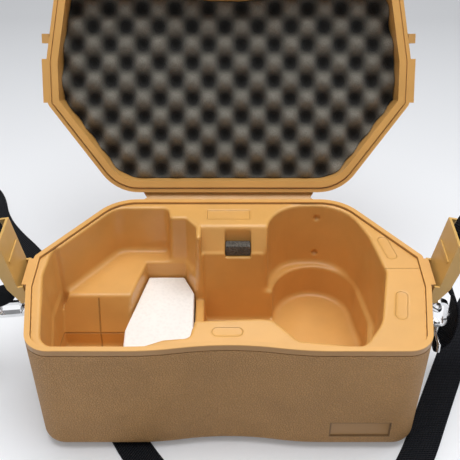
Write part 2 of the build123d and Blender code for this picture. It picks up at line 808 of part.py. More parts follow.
def eye_loop(side):
    """The strap's sewn end: a turn of webbing round the eye's outer bar."""
    inner, outer = eye_place()
    x, z = ring_tip(side)
    angle = radians(HOOK_ANGLE[side])
    centre = (x + outer * cos(angle), z + outer * sin(angle))
    bore = EYE_WIRE + STRAP_FIT
    first = Vector(*END_ROUTE[side][0])
    away = (first - Vector(*centre)).normalized()
    tail_start = Vector(*centre) + away * (bore + STRAP_THICKNESS / 2)
    across = Vector(-away.Y, away.X) * (STRAP_THICKNESS / 2)
    tail = make_face(
        Polyline(tail_start + across, first + across, first - across, tail_start - across, close=True)
    )
    turn = Pos(*centre) * (Circle(bore + STRAP_THICKNESS) - Circle(bore))
    return upright(turn + tail, STRAP_Y - STRAP_WIDTH / 2, STRAP_Y + STRAP_WIDTH / 2)


def strap_rise(side, route):
    """A stretch of strap that rises or falls in the plane across the case."""
    face, length = ribbon_face(route[side], STRAP_THICKNESS)
    solid = upright(face, STRAP_Y - STRAP_WIDTH / 2, STRAP_Y + STRAP_WIDTH / 2)
    print("  volume share", round(solid.volume / (length * STRAP_THICKNESS * STRAP_WIDTH), 4))
    return solid


def strap_floor():
    """The stretch of strap that lies on the ground and passes under the case."""
    face, length = ribbon_face(FLOOR_ROUTE, STRAP_WIDTH)
    solid = slab(face, 0.0, STRAP_THICKNESS)
    print("  volume share", round(solid.volume / (length * STRAP_THICKNESS * STRAP_WIDTH), 4))
    return solid


def folded(solid, lid=False):
    """A piece of the hinge or lid, turned from its closed place to the open pose."""
    half = -OPEN_ANGLE / 2
    turn = Pos(0, FOLD_Y, FOLD_Z) * Rot(half, 0, 0) * Pos(0, -FOLD_Y, -FOLD_Z)
    if lid:
        upper = FOLD_Z + 2 * FOLD_DROP
        turn = turn * Pos(0, FOLD_Y, upper) * Rot(half, 0, 0) * Pos(0, -FOLD_Y, -upper)
    return turn * solid


def build():
    """Every piece under the name of its node."""
    pieces = {
        "base_shell": base_shell(),
        "base_tray": base_tray(),
        "foam_block": foam_block(),
        "foam_pad": foam_pad(),
        "hinge_strip": folded(hinge_strip()),
        "lid_shell": folded(lid_shell(), lid=True),
        "lid_frame": folded(lid_frame(), lid=True),
        "lid_foam": folded(lid_foam(), lid=True),
        "strap_floor": strap_floor(),
    }
    for side in ("right", "left"):
        print(side)
        made = {
            "latch_arm": latch_arm(),
            "latch_pin": latch_pin(),
            "ring_bracket": ring_bracket(),
            "bracket_rivets": bracket_rivets(),
            "d_ring": d_ring(side),
            "hook_body": hook_body(side),
            "hook_gate": hook_gate(side),
            "hook_eye": hook_eye(side),
            "strap_loop": strap_rise(side, LOOP_ROUTE),
            "strap_end": strap_rise(side, END_ROUTE) + eye_loop(side),
        }
        for name, solid in made.items():
            pieces[f"{name}_{side}"] = mirrored(solid, side)
    return pieces


os.makedirs("parts", exist_ok=True)
for name, solid in build().items():
    solid.label = name
    export_step(solid, f"parts/{name}.step")
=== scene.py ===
"""The dressed camera case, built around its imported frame."""

import bmesh
import bpy
import numpy as np
from bpy.props import FloatProperty, FloatVectorProperty, PointerProperty
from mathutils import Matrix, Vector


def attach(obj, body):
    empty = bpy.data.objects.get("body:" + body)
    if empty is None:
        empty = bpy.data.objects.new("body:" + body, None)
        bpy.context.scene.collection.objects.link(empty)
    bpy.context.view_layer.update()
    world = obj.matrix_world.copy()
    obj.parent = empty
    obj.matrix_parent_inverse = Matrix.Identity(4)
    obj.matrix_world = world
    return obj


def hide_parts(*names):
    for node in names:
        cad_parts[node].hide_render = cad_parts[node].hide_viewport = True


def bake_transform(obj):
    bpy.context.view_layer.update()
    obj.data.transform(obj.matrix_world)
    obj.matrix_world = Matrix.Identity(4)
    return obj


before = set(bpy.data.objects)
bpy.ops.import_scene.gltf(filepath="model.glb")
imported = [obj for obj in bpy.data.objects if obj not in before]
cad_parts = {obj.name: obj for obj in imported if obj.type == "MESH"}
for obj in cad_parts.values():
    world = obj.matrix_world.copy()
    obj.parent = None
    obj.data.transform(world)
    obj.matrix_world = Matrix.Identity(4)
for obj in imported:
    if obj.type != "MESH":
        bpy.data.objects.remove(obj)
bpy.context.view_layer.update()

bl_info = {
    "name": "Camera case",
    "version": (1, 0, 0),
    "blender": (4, 5, 0),
    "location": "3D View > Sidebar > Case",
    "description": "Builds the moulded camera case, its foam, strap and hardware",
    "category": "Add Mesh",
}

MM = 0.001
SIDES = {"right": 1.0, "left": -1.0}

# The bare recess in the front wall: x and z of its middle, and its half sizes
RECESS_MIDDLE = (97.2, 23.5)
RECESS_HALF = (22.0, 7.5)

# Planes of the mouldings, in millimetres above the floor
DECK_Z = 107.0
SHELF_Z = 62.0
FLOOR_Z = 14.5
LEDGE_Z = 46.0
NOTCH_Z = 83.0
PARTITION_TOP = 40.0
PAD_FOOT_Z = 88.0
TRAY_UNDER_Z = 12.0
POCKET_SLOPE = np.tan(np.radians(1.5))

# The fold lines and how far the lid stands open
FOLD_Y = 86.9
FOLD_CLOSED_Z = 114.0
FOLD_OPEN = np.array([95.449, 109.188])
LID_ANGLE = np.radians(117.5)

# The case outline seen from above: half of its corners, and their radii
DEPTH_HALF = 86.0
HALF_OUTLINE = [(138.4, -DEPTH_HALF), (149.2, -22.0), (149.2, 12.8), (94.4, DEPTH_HALF)]
OUTLINE_RADII = [19.0, 12.0, 6.0, 38.0]
WAVE_HALF = 70.0
WAVE_DEPTH = 5.5
# How far the tray and the lid's foam stay inside that outline
TRAY_INSET = 4.35
FOAM_INSET = 9.95

# Heights in metres, with the lid shut, between which the grain begins and the band's face, painted in shade,
# ends
BASE_GRAIN_FROM = (0.1036, 0.1031)
LID_GRAIN_FROM = (0.1147, 0.1152)
BASE_BAND_FACE = (0.1079, 0.1086)
LID_BAND_FACE = (0.1097, 0.1092)
INNER_ROUGHNESS = 0.36


def measure(name, description, value):
    """A length property with its default."""
    return FloatProperty(name=name, description=description, default=value, unit="LENGTH")


class CaseSizes(bpy.types.PropertyGroup):
    """Sizes that a user might change."""

    tray_grid: measure("Tray mesh step", "Spacing of the tray's mesh", 0.0012)
    tray_edge: measure("Tray edge", "Rounding of the tray's edges", 0.0011)
    foam_grid: measure("Foam mesh step", "Spacing of the lid foam's mesh", 0.0014)
    foam_pitch: measure("Foam pitch", "Distance between peaks in one row", 0.0275)
    foam_row: measure("Foam row", "Distance between rows of peaks", 0.01493)
    strap_width: measure("Strap width", "Width of the webbing", 0.025)
    strap_thickness: measure("Strap thickness", "Thickness of the webbing", 0.0018)
    grain: measure("Grain", "Size of one pebble of the moulded grain", 0.0018)


def colour(name, description, value):
    """A colour property with its default."""
    return FloatVectorProperty(
        name=name, description=description, subtype="COLOR", size=3, min=0.0, max=1.0, default=value
    )


class CaseColours(bpy.types.PropertyGroup):
    """Colours that a user might change."""

    shell: colour("Shell", "Outer plastic, where it is grained", (0.565, 0.305, 0.112))
    inner: colour("Inner", "Smooth plastic of rim, tray and frame", (0.72, 0.385, 0.108))
    latch: colour("Latch", "Plastic of the two latches", (0.67, 0.41, 0.12))
    white_foam: colour("White foam", "Foam block in the tray", (0.90, 0.885, 0.85))
    grey_foam: colour("Grey foam", "Small pad in the rear notch", (0.15, 0.136, 0.114))
    dark_foam: colour("Lid foam", "Egg-crate foam", (0.215, 0.200, 0.165))
    webbing: colour("Webbing", "Strap", (0.0042, 0.0046, 0.0062))
    floor: colour("Floor", "Table under the case", (0.835, 0.85, 0.88))


def sizes():
    return bpy.context.scene.case_sizes


def colours():
    return bpy.context.scene.case_colours


# Plane curves


def unit(rows):
    """Each row scaled to length one."""
    return rows / np.linalg.norm(rows, axis=1)[:, None]


def run_along(line):
    """The length of a line from its start to each of its points."""
    return np.concatenate([[0], np.cumsum(np.linalg.norm(np.diff(line, axis=0), axis=1))])


def winding(ring):
    """One where a ring runs anticlockwise and minus one where it runs clockwise, from the sign of its area."""
    return np.sign(np.sum(ring[:, 0] * np.roll(ring[:, 1], -1) - ring[:, 1] * np.roll(ring[:, 0], -1)))


def rounded(points, radii):
    """A closed polygon whose corners are arcs: each arc touches both sides at radius / tan(half the corner)."""
    points = np.array(points, float)
    made = []
    for here, before, after, radius in zip(points, np.roll(points, 1, 0), np.roll(points, -1, 0), radii):
        back = (before - here) / np.linalg.norm(before - here)
        on = (after - here) / np.linalg.norm(after - here)
        half = 0.5 * np.arccos(np.clip(back @ on, -1, 1))
        run = radius / np.tan(half)
        middle = here + (back + on) / np.linalg.norm(back + on) * radius / np.sin(half)
        start, end = here + back * run - middle, here + on * run - middle
        first = np.arctan2(start[1], start[0])
        turn = (np.arctan2(end[1], end[0]) - first + np.pi) % (2 * np.pi) - np.pi
        angles = first + turn * np.linspace(0, 1, max(3, int(abs(turn) / 0.12) + 2))
        made.append(middle + radius * np.stack([np.cos(angles), np.sin(angles)], 1))
    return np.concatenate(made)


def case_outline():
    """The case outline in millimetres: rounded corners, and a shallow cosine wave in the front edge."""
    left = [(-x, y) for x, y in reversed(HALF_OUTLINE)]
    ring = rounded(HALF_OUTLINE + left, OUTLINE_RADII + OUTLINE_RADII[::-1])
    x = np.linspace(-WAVE_HALF, WAVE_HALF, 41)
    wave = np.stack([x, -DEPTH_HALF + WAVE_DEPTH * 0.5 * (1 + np.cos(np.pi * x / WAVE_HALF))], 1)
    return np.concatenate([wave, ring])


def side_distance(xy, ring):
    """Signed distance to a closed polygon, negative inside: the least distance to a side, with the sign
    from how many sides a ray to the right crosses."""
    x, y = xy[:, 0], xy[:, 1]
    best = np.full(len(xy), 1e9)
    inside = np.zeros(len(xy), bool)
    for (ax, ay), (bx, by) in zip(ring, np.roll(ring, -1, 0)):
        ex, ey = bx - ax, by - ay
        length = ex * ex + ey * ey
        if length < 1e-12:
            continue
        t = np.clip(((x - ax) * ex + (y - ay) * ey) / length, 0, 1)
        best = np.minimum(best, np.hypot(x - ax - t * ex, y - ay - t * ey))
        crosses = (ay > y) != (by > y)
        if ey:
            inside ^= crosses & (x < ax + (y - ay) * ex / ey)
    return np.where(inside, -best, best)


def soft_min(a, b, k):
    """The smaller of two distances, blended over k where they are nearly equal."""
    h = np.clip(0.5 + 0.5 * (b - a) / k, 0, 1)
    return b + (a - b) * h - k * h * (1 - h)


def soft_max(a, b, k):
    """The larger of two distances, blended over k where they are nearly equal."""
    return -soft_min(-a, -b, k)


# Meshes


def make_piece(name, points, faces, body, material, smooth=True):
    """A mesh object at the origin, from points in metres and faces, that rides on a body."""
    mesh = bpy.data.meshes.new(name)
    mesh.from_pydata(np.asarray(points, float).tolist(), [], [list(map(int, f)) for f in faces])
    mesh.validate()
    piece = bpy.data.objects.new(name, mesh)
    bpy.context.scene.collection.objects.link(piece)
    mesh.materials.append(material)
    mesh.polygons.foreach_set("use_smooth", np.full(len(mesh.polygons), smooth))
    if body:
        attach(piece, body)
    return piece


def closed_piece(name, points, faces, body, material):
    """A piece from points in millimetres, with its holes closed and its faces turned outwards."""
    piece = make_piece(name, points * MM, faces, body, material)
    work = bmesh.new()
    work.from_mesh(piece.data)
    open_edges = [edge for edge in work.edges if edge.is_boundary]
    if open_edges:
        bmesh.ops.holes_fill(work, edges=open_edges, sides=0)
    bmesh.ops.recalc_face_normals(work, faces=work.faces)
    work.to_mesh(piece.data)
    work.free()
    return piece


def loft(rings):
    """Quads between closed rings of equal length, with a cap on the first and the last ring."""
    count, around = len(rings), len(rings[0])
    points = np.concatenate(rings)
    i, j = np.meshgrid(np.arange(count - 1), np.arange(around), indexing="ij")
    k = (j + 1) % around
    quads = np.stack([i * around + j, i * around + k, (i + 1) * around + k, (i + 1) * around + j], -1)
    faces = quads.reshape(-1, 4).tolist()
    faces.append(list(range(around))[::-1])
    faces.append(list(range((count - 1) * around, count * around)))
    return points, faces


def drawn_in(ring, amount):
    """A ring of plane points moved inwards along the mean normal of its two sides."""
    back = ring - np.roll(ring, 1, 0)
    on = np.roll(ring, -1, 0) - ring
    along = unit(unit(back) + unit(on))
    return ring + winding(ring) * amount * np.stack([-along[:, 1], along[:, 0]], 1)


def moved_sides(points, amount):
    """A polygon with each side moved inwards, its corners where the moved sides cross."""
    points = np.array(points, float)
    on = unit(np.roll(points, -1, 0) - points)
    back = np.roll(on, 1, 0)
    inward = winding(points) * (np.stack([-on[:, 1], on[:, 0]], 1) + np.stack([-back[:, 1], back[:, 0]], 1))
    return points + amount * inward / (1.0 + (on * back).sum(1))[:, None]


def even(ring, step):
    """The same closed ring with points at even steps of length."""
    closed = np.concatenate([ring, ring[:1]])
    run = run_along(closed)
    keep = np.concatenate([[True], np.diff(run) > 1e-9])
    places = np.linspace(0, run[-1], int(run[-1] / step), endpoint=False)
    return np.stack([np.interp(places, run[keep], closed[keep, axis]) for axis in (0, 1)], 1)


def inset_outline(amount):
    """The case outline at even steps, drawn in by an amount."""
    return drawn_in(even(case_outline(), 1.5), amount)


def soft_block(ring, low, high, edge):
    """A block on a plane ring with quarter-round edges of one radius, as a loft of drawn-in rings."""
    angles = np.radians([90, 60, 30, 0])
    rings = []
    for height, sign in ((low + edge, -1), (high - edge, 1)):
        for angle in angles if sign < 0 else angles[::-1]:
            plan = drawn_in(ring, edge * (1 - np.cos(angle)))
            rise = np.full(len(ring), height + sign * edge * np.sin(angle))
            rings.append(np.column_stack([plan, rise]))
    return loft(rings)


def lid_place(points):
    """Points in millimetres of the closed lid, turned about the fold line into the open place."""
    y, z = points[:, 1] - FOLD_Y, points[:, 2] - FOLD_CLOSED_Z
    c, s = np.cos(LID_ANGLE), np.sin(LID_ANGLE)
    return np.column_stack([points[:, 0], FOLD_OPEN[0] + y * c + z * s, FOLD_OPEN[1] - y * s + z * c])


# Surface of a solid given by a distance function


def net(function, low, high, step):
    """Surface nets: one vertex per cell that the surface crosses, at the mean of its edge crossings, and
    one quad per grid edge whose ends lie on different sides."""
    axes = [np.arange(a, b + s, s) for a, b, s in zip(low, high, step)]
    values = function(*axes)
    inside = values < 0
    shape = np.array(values.shape) - 1
    total = np.zeros((*shape, 3))
    count = np.zeros(shape)
    corner = [(i, j, k) for i in (0, 1) for j in (0, 1) for k in (0, 1)]
    part = [slice(0, -1), slice(1, None)]
    for a in corner:
        for axis in range(3):
            if a[axis]:
                continue
            b = tuple(1 if n == axis else v for n, v in enumerate(a))
            fa = values[tuple(part[v] for v in a)]
            fb = values[tuple(part[v] for v in b)]
            cross = (fa < 0) != (fb < 0)
            t = np.where(cross, fa / np.where(cross, fa - fb, 1), 0)
            for n in range(3):
                total[..., n] += cross * (a[n] + (t if n == axis else 0))
            count += cross
    active = count > 0
    index = np.full(shape, -1)
    index[active] = np.arange(active.sum())
    cells = np.argwhere(active)
    points = np.stack([axes[n][0] + step[n] * cells[:, n] for n in range(3)], 1)
    points += total[active] / count[active][:, None] * np.array(step)
    quads = []
    for axis in range(3):
        u, v = (axis + 1) % 3, (axis + 2) % 3
        ahead = tuple(slice(1, None) if n == axis else slice(None) for n in range(3))
        here = tuple(slice(0, -1) if n == axis else slice(None) for n in range(3))
        change = inside[here] != inside[ahead]
        places = np.argwhere(change)
        places = places[(places[:, u] > 0) & (places[:, v] > 0)]
        places = places[(places[:, u] < shape[u]) & (places[:, v] < shape[v])]
        out = inside[here][tuple(places.T)]
        shift = [(0, 0), (-1, 0), (-1, -1), (0, -1)]
        ring = []
        for du, dv in shift:
            cell = places.copy()
            cell[:, u] += du
            cell[:, v] += dv
            ring.append(index[tuple(cell.T)])
        ring = np.stack(ring, 1)
        ring[~out] = ring[~out][:, ::-1]
        quads.append(ring)
    quads = np.concatenate(quads)
    return points, quads[(quads >= 0).all(1)]


# The tray's compartments seen from above: their corners, the corners' radii and the height of each floor
LEFT_MOUTH = [
    (-94.1, 76.4), (-50.5, 76.4), (-48.0, 62.8), (-34.9, 62.8), (-26.5, 51.5), (-24.5, -55.0),
    (-27.0, -71.5), (-45.0, -73.3), (-58.0, -79.0), (-128.5, -80.1), (-139.5, -6.0), (-137.8, 18.0),
]
LEFT_MOUTH_RADII = [16.0, 5.0, 3.0, 3.0, 4.0, 3.0, 5.0, 6.0, 8.0, 14.0, 12.0, 8.0]
LEFT_FLOOR = [(-136.0, 24.0), (-72.0, 24.0), (-72.0, -76.0), (-127.8, -79.2), (-138.7, -6.0)]
LEFT_FLOOR_RADII = [2.0, 2.0, 6.0, 13.0, 11.0]
# The shelf's front end: its front and left faces slope outwards from these places down to its foot
BLOCK_FRONT = 18.9
BLOCK_SIDE = -130.0
BLOCK_SLOPE = 0.36
BLOCK_FOOT_Z = 30.0
# Turns a level distance to those sloping faces into a square one
BLOCK_SQUARE = 0.94
# How far faces blend into each other: a compartment's wall and floor, the shelf's end, and the notch
FLOOR_BLEND = 5.0
BLOCK_BLEND = 1.5
NOTCH_BLEND = 0.8
SLOT = [(-70.6, 60.4), (-36.0, 60.4), (-26.0, 38.0), (-24.8, -62.0), (-84.0, -72.0), (-86.0, -6.0)]
SLOT_RADII = [2.0, 4.0, 4.0, 4.0, 4.0, 8.0]
CAVITY = [(-22.0, 41.0), (39.0, 41.0), (39.0, -52.0), (-22.0, -55.0)]
CAVITY_RADII = [3.0, 3.0, 4.0, 4.0]
WELL_MOUTH = [
    (31.0, 44.0), (34.0, 80.0), (96.0, 80.0), (111.5, 40.0), (119.0, -3.0), (108.0, -57.0),
    (93.0, -80.0), (47.6, -74.2), (32.0, -53.4), (24.0, -53.0), (24.0, 36.0),
]
WELL_MOUTH_RADII = [4.0, 32.0, 34.0, 40.0, 12.0, 30.0, 11.0, 8.0, 4.0, 2.0, 2.0]
WELL_FLOOR = [
    (35.4, 40.5), (27.0, 12.0), (27.0, -50.0), (48.0, -70.0), (88.0, -74.0), (105.0, -50.0),
    (114.0, 4.0), (108.6, 40.5),
]
WELL_FLOOR_RADII = [1.0, 8.0, 4.0, 8.0, 10.0, 20.0, 16.0, 1.0]
WELL_CENTRE = (72.0, 36.5)
WELL_RADIUS = 37.0
POCKETS = [
    (LEFT_MOUTH, LEFT_MOUTH_RADII, SHELF_Z),
    (LEFT_FLOOR, LEFT_FLOOR_RADII, FLOOR_Z),
    (SLOT, SLOT_RADII, FLOOR_Z),
    (CAVITY, CAVITY_RADII, FLOOR_Z),
    (WELL_MOUTH, WELL_MOUTH_RADII, LEDGE_Z),
    (WELL_FLOOR, WELL_FLOOR_RADII, FLOOR_Z),
]
# Bare recesses in the deck: centre, half length of its straight part, half width, angle in degrees
MARKS = [((-0.8, -65.9), 6.5, 4.25, 0.0), ((124.7, -39.5), 10.2, 4.25, 80.0), ((124.0, 25.0), 9.5, 4.0, -78.0)]
MARK_DEPTH = 0.6
# The rectangle in the rear deck: y of its middle, half sizes of its recess, and its outline's spans
REAR_Y = 67.6
REAR_RECESS = (17.9, 6.1)
REAR_MARK = ((0, 0.0, 17.4), (1, REAR_Y, 5.7))
# Fine seams, as slots: on the right deck, and up and along the shelf's front end
DECK_SEAM = ((132.7, 0.3), 13.6, 0.3, 0.0)
BLOCK_SEAM = ((36.5, -105.5), 22.5, 0.6)
BLOCK_FOOT_SEAM = ((-106.0, BLOCK_FOOT_Z), 34.0, 0.6)
# The sloped edge behind the middle space: where its plane meets the deck, that plane's slope, and its box
SLOPE_Y = 52.2
SLOPE_NORMAL = (0.881, -0.473)
SLOPE_BOX = ((-22.0, 33.0), (36.0, 60.0), (PAD_FOOT_Z, 120.0))
NOTCH_BOX = ((-2.9, 18.1), (36.0, 50.9), (NOTCH_Z, 120.0))
# The air over the low wall between the slot and the middle space
GAP_BOX = ((-30.0, -20.0), (-54.0, 37.0), (PARTITION_TOP, 120.0))
# The space in which the tray's surface is looked for
TRAY_BOX = ((-149.0, -89.0, 11.0), (149.0, 89.0, 110.0))
# The white foam block's gap to its slot's wall and its heights, then the grey pad's corners and heights
FOAM_GAP = 0.6
FOAM_HEIGHTS = (FLOOR_Z + 0.3, FLOOR_Z + 32.5)
PAD_CORNERS = [(-2.5, 42.7), (17.7, 42.7), (17.7, 50.5), (-2.5, 50.5)]
PAD_HEIGHTS = (NOTCH_Z + 0.4, NOTCH_Z + 10.2)
# Two round dimples in the well's back wall
DIMPLES = [(74.4, 79.2, 94.0), (74.7, 78.4, 57.0)]
DIMPLE_RADIUS = 2.8

# The lid's foam, with the lid shut: where a peak is, the wave's middle, swing and lowest point, the foam's
# back, and the heights between which a painted shadow darkens its pits
PEAK_X = 10.75
PEAK_Y = DEPTH_HALF - 9.6 - 7.5
WAVE_MIDDLE_Z = 126.8
WAVE_HEIGHT = 6.0
PEAK_Z = 120.8
FOAM_BACK_Z = 150.6
PIT_SHADOW_HEIGHTS = (122.6, 130.2)


def box_distance(x, y, z, xs, ys, zs):
    """Distance to a box as the largest of its six plane distances."""
    planes = [xs[0] - x, x - xs[1], ys[0] - y, y - ys[1], zs[0] - z, z - zs[1]]
    result = planes[0]
    for plane in planes[1:]:
        result = np.maximum(result, plane)
    return result


def tray_air(x, y, z, plans, edge):
    """Distance to the tray's hollow, negative inside it: the soft union of the compartments, each the
    soft intersection of its drafted wall and its floor, with the sloped edge, notch and gap between."""
    air = None
    spread = BLOCK_SLOPE * np.clip(SHELF_Z - z, 0, SHELF_Z - BLOCK_FOOT_Z)
    block = BLOCK_SQUARE * np.minimum(y - BLOCK_FRONT + spread, x - BLOCK_SIDE + spread)
    for plan, (points, _, floor) in zip(plans, POCKETS):
        wall = plan + (DECK_Z - z) * POCKET_SLOPE
        if points is LEFT_FLOOR:
            wall = soft_max(wall, block, BLOCK_BLEND)
        hollow = soft_max(wall, floor - z, FLOOR_BLEND)
        air = hollow if air is None else soft_min(air, hollow, edge)
    slope = SLOPE_NORMAL[0] * (y - SLOPE_Y) + SLOPE_NORMAL[1] * (z - DECK_Z)
    air = soft_min(air, np.maximum(slope, box_distance(x, y, z, *SLOPE_BOX)), edge)
    air = soft_min(air, box_distance(x, y, z, *NOTCH_BOX), NOTCH_BLEND)
    air = soft_min(air, box_distance(x, y, z, *GAP_BOX), edge)
    for px, py, pz in DIMPLES:
        air = np.minimum(air, np.sqrt((x - px) ** 2 + (y - py) ** 2 + (z - pz) ** 2) - DIMPLE_RADIUS)
    return air


def mark_distance(x, y):
    """Distance to the nearest bare recess: long rounded slots and one rectangle."""
    best = np.maximum(np.abs(x) - REAR_RECESS[0], np.abs(y - REAR_Y) - REAR_RECESS[1])
    for (cx, cy), half, radius, angle in MARKS:
        c, s = np.cos(np.radians(angle)), np.sin(np.radians(angle))
        u, v = (x - cx) * c + (y - cy) * s, -(x - cx) * s + (y - cy) * c
        best = np.minimum(best, np.hypot(np.maximum(np.abs(u) - half, 0), v) - radius)
    return best


def plan_distances(xy):
    """Signed distances of plane points to each compartment's plan."""
    result = [side_distance(xy, rounded(points, radii)) for points, radii, _ in POCKETS]
    disc = np.hypot(xy[:, 0] - WELL_CENTRE[0], xy[:, 1] - WELL_CENTRE[1]) - WELL_RADIUS
    result[-1] = np.minimum(result[-1], disc)
    return result


def tray_solid(x, y, z, plans, edge):
    """Distance to the tray's upper surface: below the deck and outside the hollow."""
    top = DECK_Z - MARK_DEPTH * np.clip(0.5 - mark_distance(x, y) / 0.8, 0, 1)
    return soft_max(z - top, -tray_air(x, y, z, plans, edge), edge)


def clip_to(points, quads, ring, reach):
    """Drops quads that lie well outside a plane ring, and moves the rest of the outer points onto it."""
    distance = side_distance(points[:, :2], ring)
    keep = (distance[quads] < reach).all(1)
    quads = quads[keep]
    used = np.unique(quads)
    number = np.full(len(points), -1)
    number[used] = np.arange(len(used))
    points, quads, distance = points[used], number[quads], distance[used]
    for _ in range(3):
        nudge = 0.05
        slope_x = side_distance(points[:, :2] + [nudge, 0], ring) - distance
        slope_y = side_distance(points[:, :2] + [0, nudge], ring) - distance
        slope = np.stack([slope_x, slope_y], 1)
        slope /= np.maximum(np.linalg.norm(slope, axis=1), 1e-9)[:, None]
        points[:, :2] -= slope * np.maximum(distance, 0)[:, None]
        distance = side_distance(points[:, :2], ring)
    return points, quads


def rim_of(quads):
    """The edges that only one quad uses, in that quad's direction."""
    edges = np.stack([quads, np.roll(quads, -1, 1)], -1).reshape(-1, 2)
    _, place, times = np.unique(np.sort(edges, 1), axis=0, return_index=True, return_counts=True)
    return edges[place[times == 1]]


def with_skirt(points, quads, z):
    """The sheet with a wall from its rim down or up to height z. The hole left there is closed later."""
    edges = rim_of(quads)
    rim = np.unique(edges)
    number = np.full(len(points), -1)
    number[rim] = len(points) + np.arange(len(rim))
    low = points[rim].copy()
    low[:, 2] = z
    walls = np.stack([edges[:, 1], edges[:, 0], number[edges[:, 0]], number[edges[:, 1]]], 1)
    return np.concatenate([points, low]), np.concatenate([quads, walls])


# Materials


def add(tree, kind, inputs=None, **settings):
    """A new node with its settings and its inputs, each a value or another node's output."""
    node = tree.nodes.new(kind)
    for name, value in settings.items():
        setattr(node, name, value)
    for name, value in (inputs or {}).items():
        if isinstance(value, bpy.types.NodeSocket):
            tree.links.new(value, node.inputs[name])
        else:
            node.inputs[name].default_value = value
    return node


def math(tree, operation, *values):
    """What a Math node makes of its values."""
    return add(tree, "ShaderNodeMath", dict(enumerate(values)), operation=operation).outputs[0]


def vector_math(tree, operation, inputs):
    """What a Vector Math node makes of its inputs, as its outputs."""
    return add(tree, "ShaderNodeVectorMath", inputs, operation=operation).outputs


def ramp(tree, value, low=0.0, high=1.0, first=0.0, last=1.0, **settings):
    """A value mapped from the span low to high onto the span first to last, and held at its ends."""
    inputs = {"Value": value, "From Min": low, "From Max": high, "To Min": first, "To Max": last}
    return add(tree, "ShaderNodeMapRange", inputs, **settings).outputs[0]


def noise(tree, place, scale, detail):
    """The value and the colour of a noise texture."""
    return add(tree, "ShaderNodeTexNoise", {"Vector": place, "Scale": scale, "Detail": detail}).outputs


def coordinates(tree, place):
    """The three coordinates of a place."""
    return add(tree, "ShaderNodeSeparateXYZ", {0: place}).outputs


def in_plane(tree, across, up):
    """A place made of two coordinates."""
    return add(tree, "ShaderNodeCombineXYZ", {0: across, 1: up}).outputs[0]


def mix_colour(tree, factor, a, b, blend="MIX"):
    """Colour a turned into colour b by a factor."""
    return add(tree, "ShaderNodeMix", {0: factor, 6: a, 7: b}, data_type="RGBA", blend_type=blend).outputs[2]


def rgba(value, share=1.0):
    """A colour, darkened or lightened to a share of itself, with full alpha."""
    return (*(share * v for v in value), 1.0)


# What fills each shader node group: its inputs come in, and what its outputs take goes back


def mottle(group, place, colour, scale, amount):
    """Slow and fine noise that varies a colour, for moulded plastic and foam."""
    speckle = noise(group, place, scale, 5.0)[0]
    spread = ramp(group, speckle, 0.3, 0.7, math(group, "SUBTRACT", 1.0, amount))
    shade = add(group, "ShaderNodeCombineColor", {i: spread for i in range(3)}).outputs[0]
    return mix_colour(group, 1.0, colour, shade, "MULTIPLY"), speckle


def leather_grain(group, place, scale):
    """Height of a moulded leather grain: cells bent by noise, with creases between them and fine pores."""
    bent = vector_math(group, "SCALE", {0: noise(group, place, 260.0, 3.0)[1], "Scale": 0.0016})[0]
    moved = vector_math(group, "ADD", {0: place, 1: bent})[0]
    cells = add(group, "ShaderNodeTexVoronoi", {"Vector": moved, "Scale": scale}, feature="DISTANCE_TO_EDGE")
    crease = ramp(group, cells.outputs[0], 0.0, 0.22, interpolation_type="SMOOTHSTEP")
    fine = math(group, "MULTIPLY", noise(group, place, 2600.0, 2.0)[0], 0.35)
    return (math(group, "ADD", crease, fine),)


def foam_cells(group, place, scale):
    """Height and pore mask of cut open-cell foam."""
    cells = add(group, "ShaderNodeTexVoronoi", {"Vector": place, "Scale": scale}).outputs[0]
    height = math(group, "ADD", cells, noise(group, place, scale, 4.0)[0])
    return height, ramp(group, height, 0.55, 1.15)


def slot_mask(group, place, centre, angle, half, radius):
    """One inside a long rounded slot and nought outside it, with a sharp edge."""
    moved = vector_math(group, "SUBTRACT", {0: place, 1: centre})[0]
    back = math(group, "MULTIPLY", angle, -1.0)
    turned = add(group, "ShaderNodeVectorRotate", {"Vector": moved, "Angle": back}, rotation_type="Z_AXIS")
    along, across, _ = coordinates(group, turned.outputs[0])
    past = math(group, "SUBTRACT", math(group, "ABSOLUTE", along), half)
    flat = in_plane(group, math(group, "MAXIMUM", past, 0.0), across)
    away = vector_math(group, "LENGTH", {0: flat})["Value"]
    return (ramp(group, math(group, "SUBTRACT", away, radius), 0.0002, -0.0002),)


def twill_weave(group, place, yarn):
    """Height of twill webbing on a map in metres: yarns across the strap, stepped along it row by row."""
    u, v, _ = coordinates(group, place)
    rate = math(group, "DIVIDE", np.pi * 2, yarn)
    across, along = math(group, "MULTIPLY", u, rate), math(group, "MULTIPLY", v, rate)
    step = math(group, "SINE", math(group, "MULTIPLY_ADD", across, 0.5, along))
    return (math(group, "MULTIPLY_ADD", math(group, "SINE", across), 0.45, step),)


# Each group's name, its inputs with their defaults, and its outputs
GROUPS = {
    mottle: (
        "Mottle",
        {"Vector": None, "Color": (0.5, 0.5, 0.5, 1), "Scale": 30.0, "Amount": 0.15},
        ("Color", "Mask"),
    ),
    leather_grain: ("Leather grain", {"Vector": None, "Scale": 600.0}, ("Height",)),
    foam_cells: ("Foam cells", {"Vector": None, "Scale": 900.0}, ("Height", "Mask")),
    slot_mask: (
        "Slot mask",
        {"Vector": None, "Centre": (0, 0, 0), "Angle": 0.0, "Half": 0.01, "Radius": 0.004},
        ("Mask",),
    ),
    twill_weave: ("Twill weave", {"Vector": None, "Yarn": 0.0011}, ("Height",)),
}
SOCKET_KINDS = {"Vector": "NodeSocketVector", "Centre": "NodeSocketVector", "Color": "NodeSocketColor"}


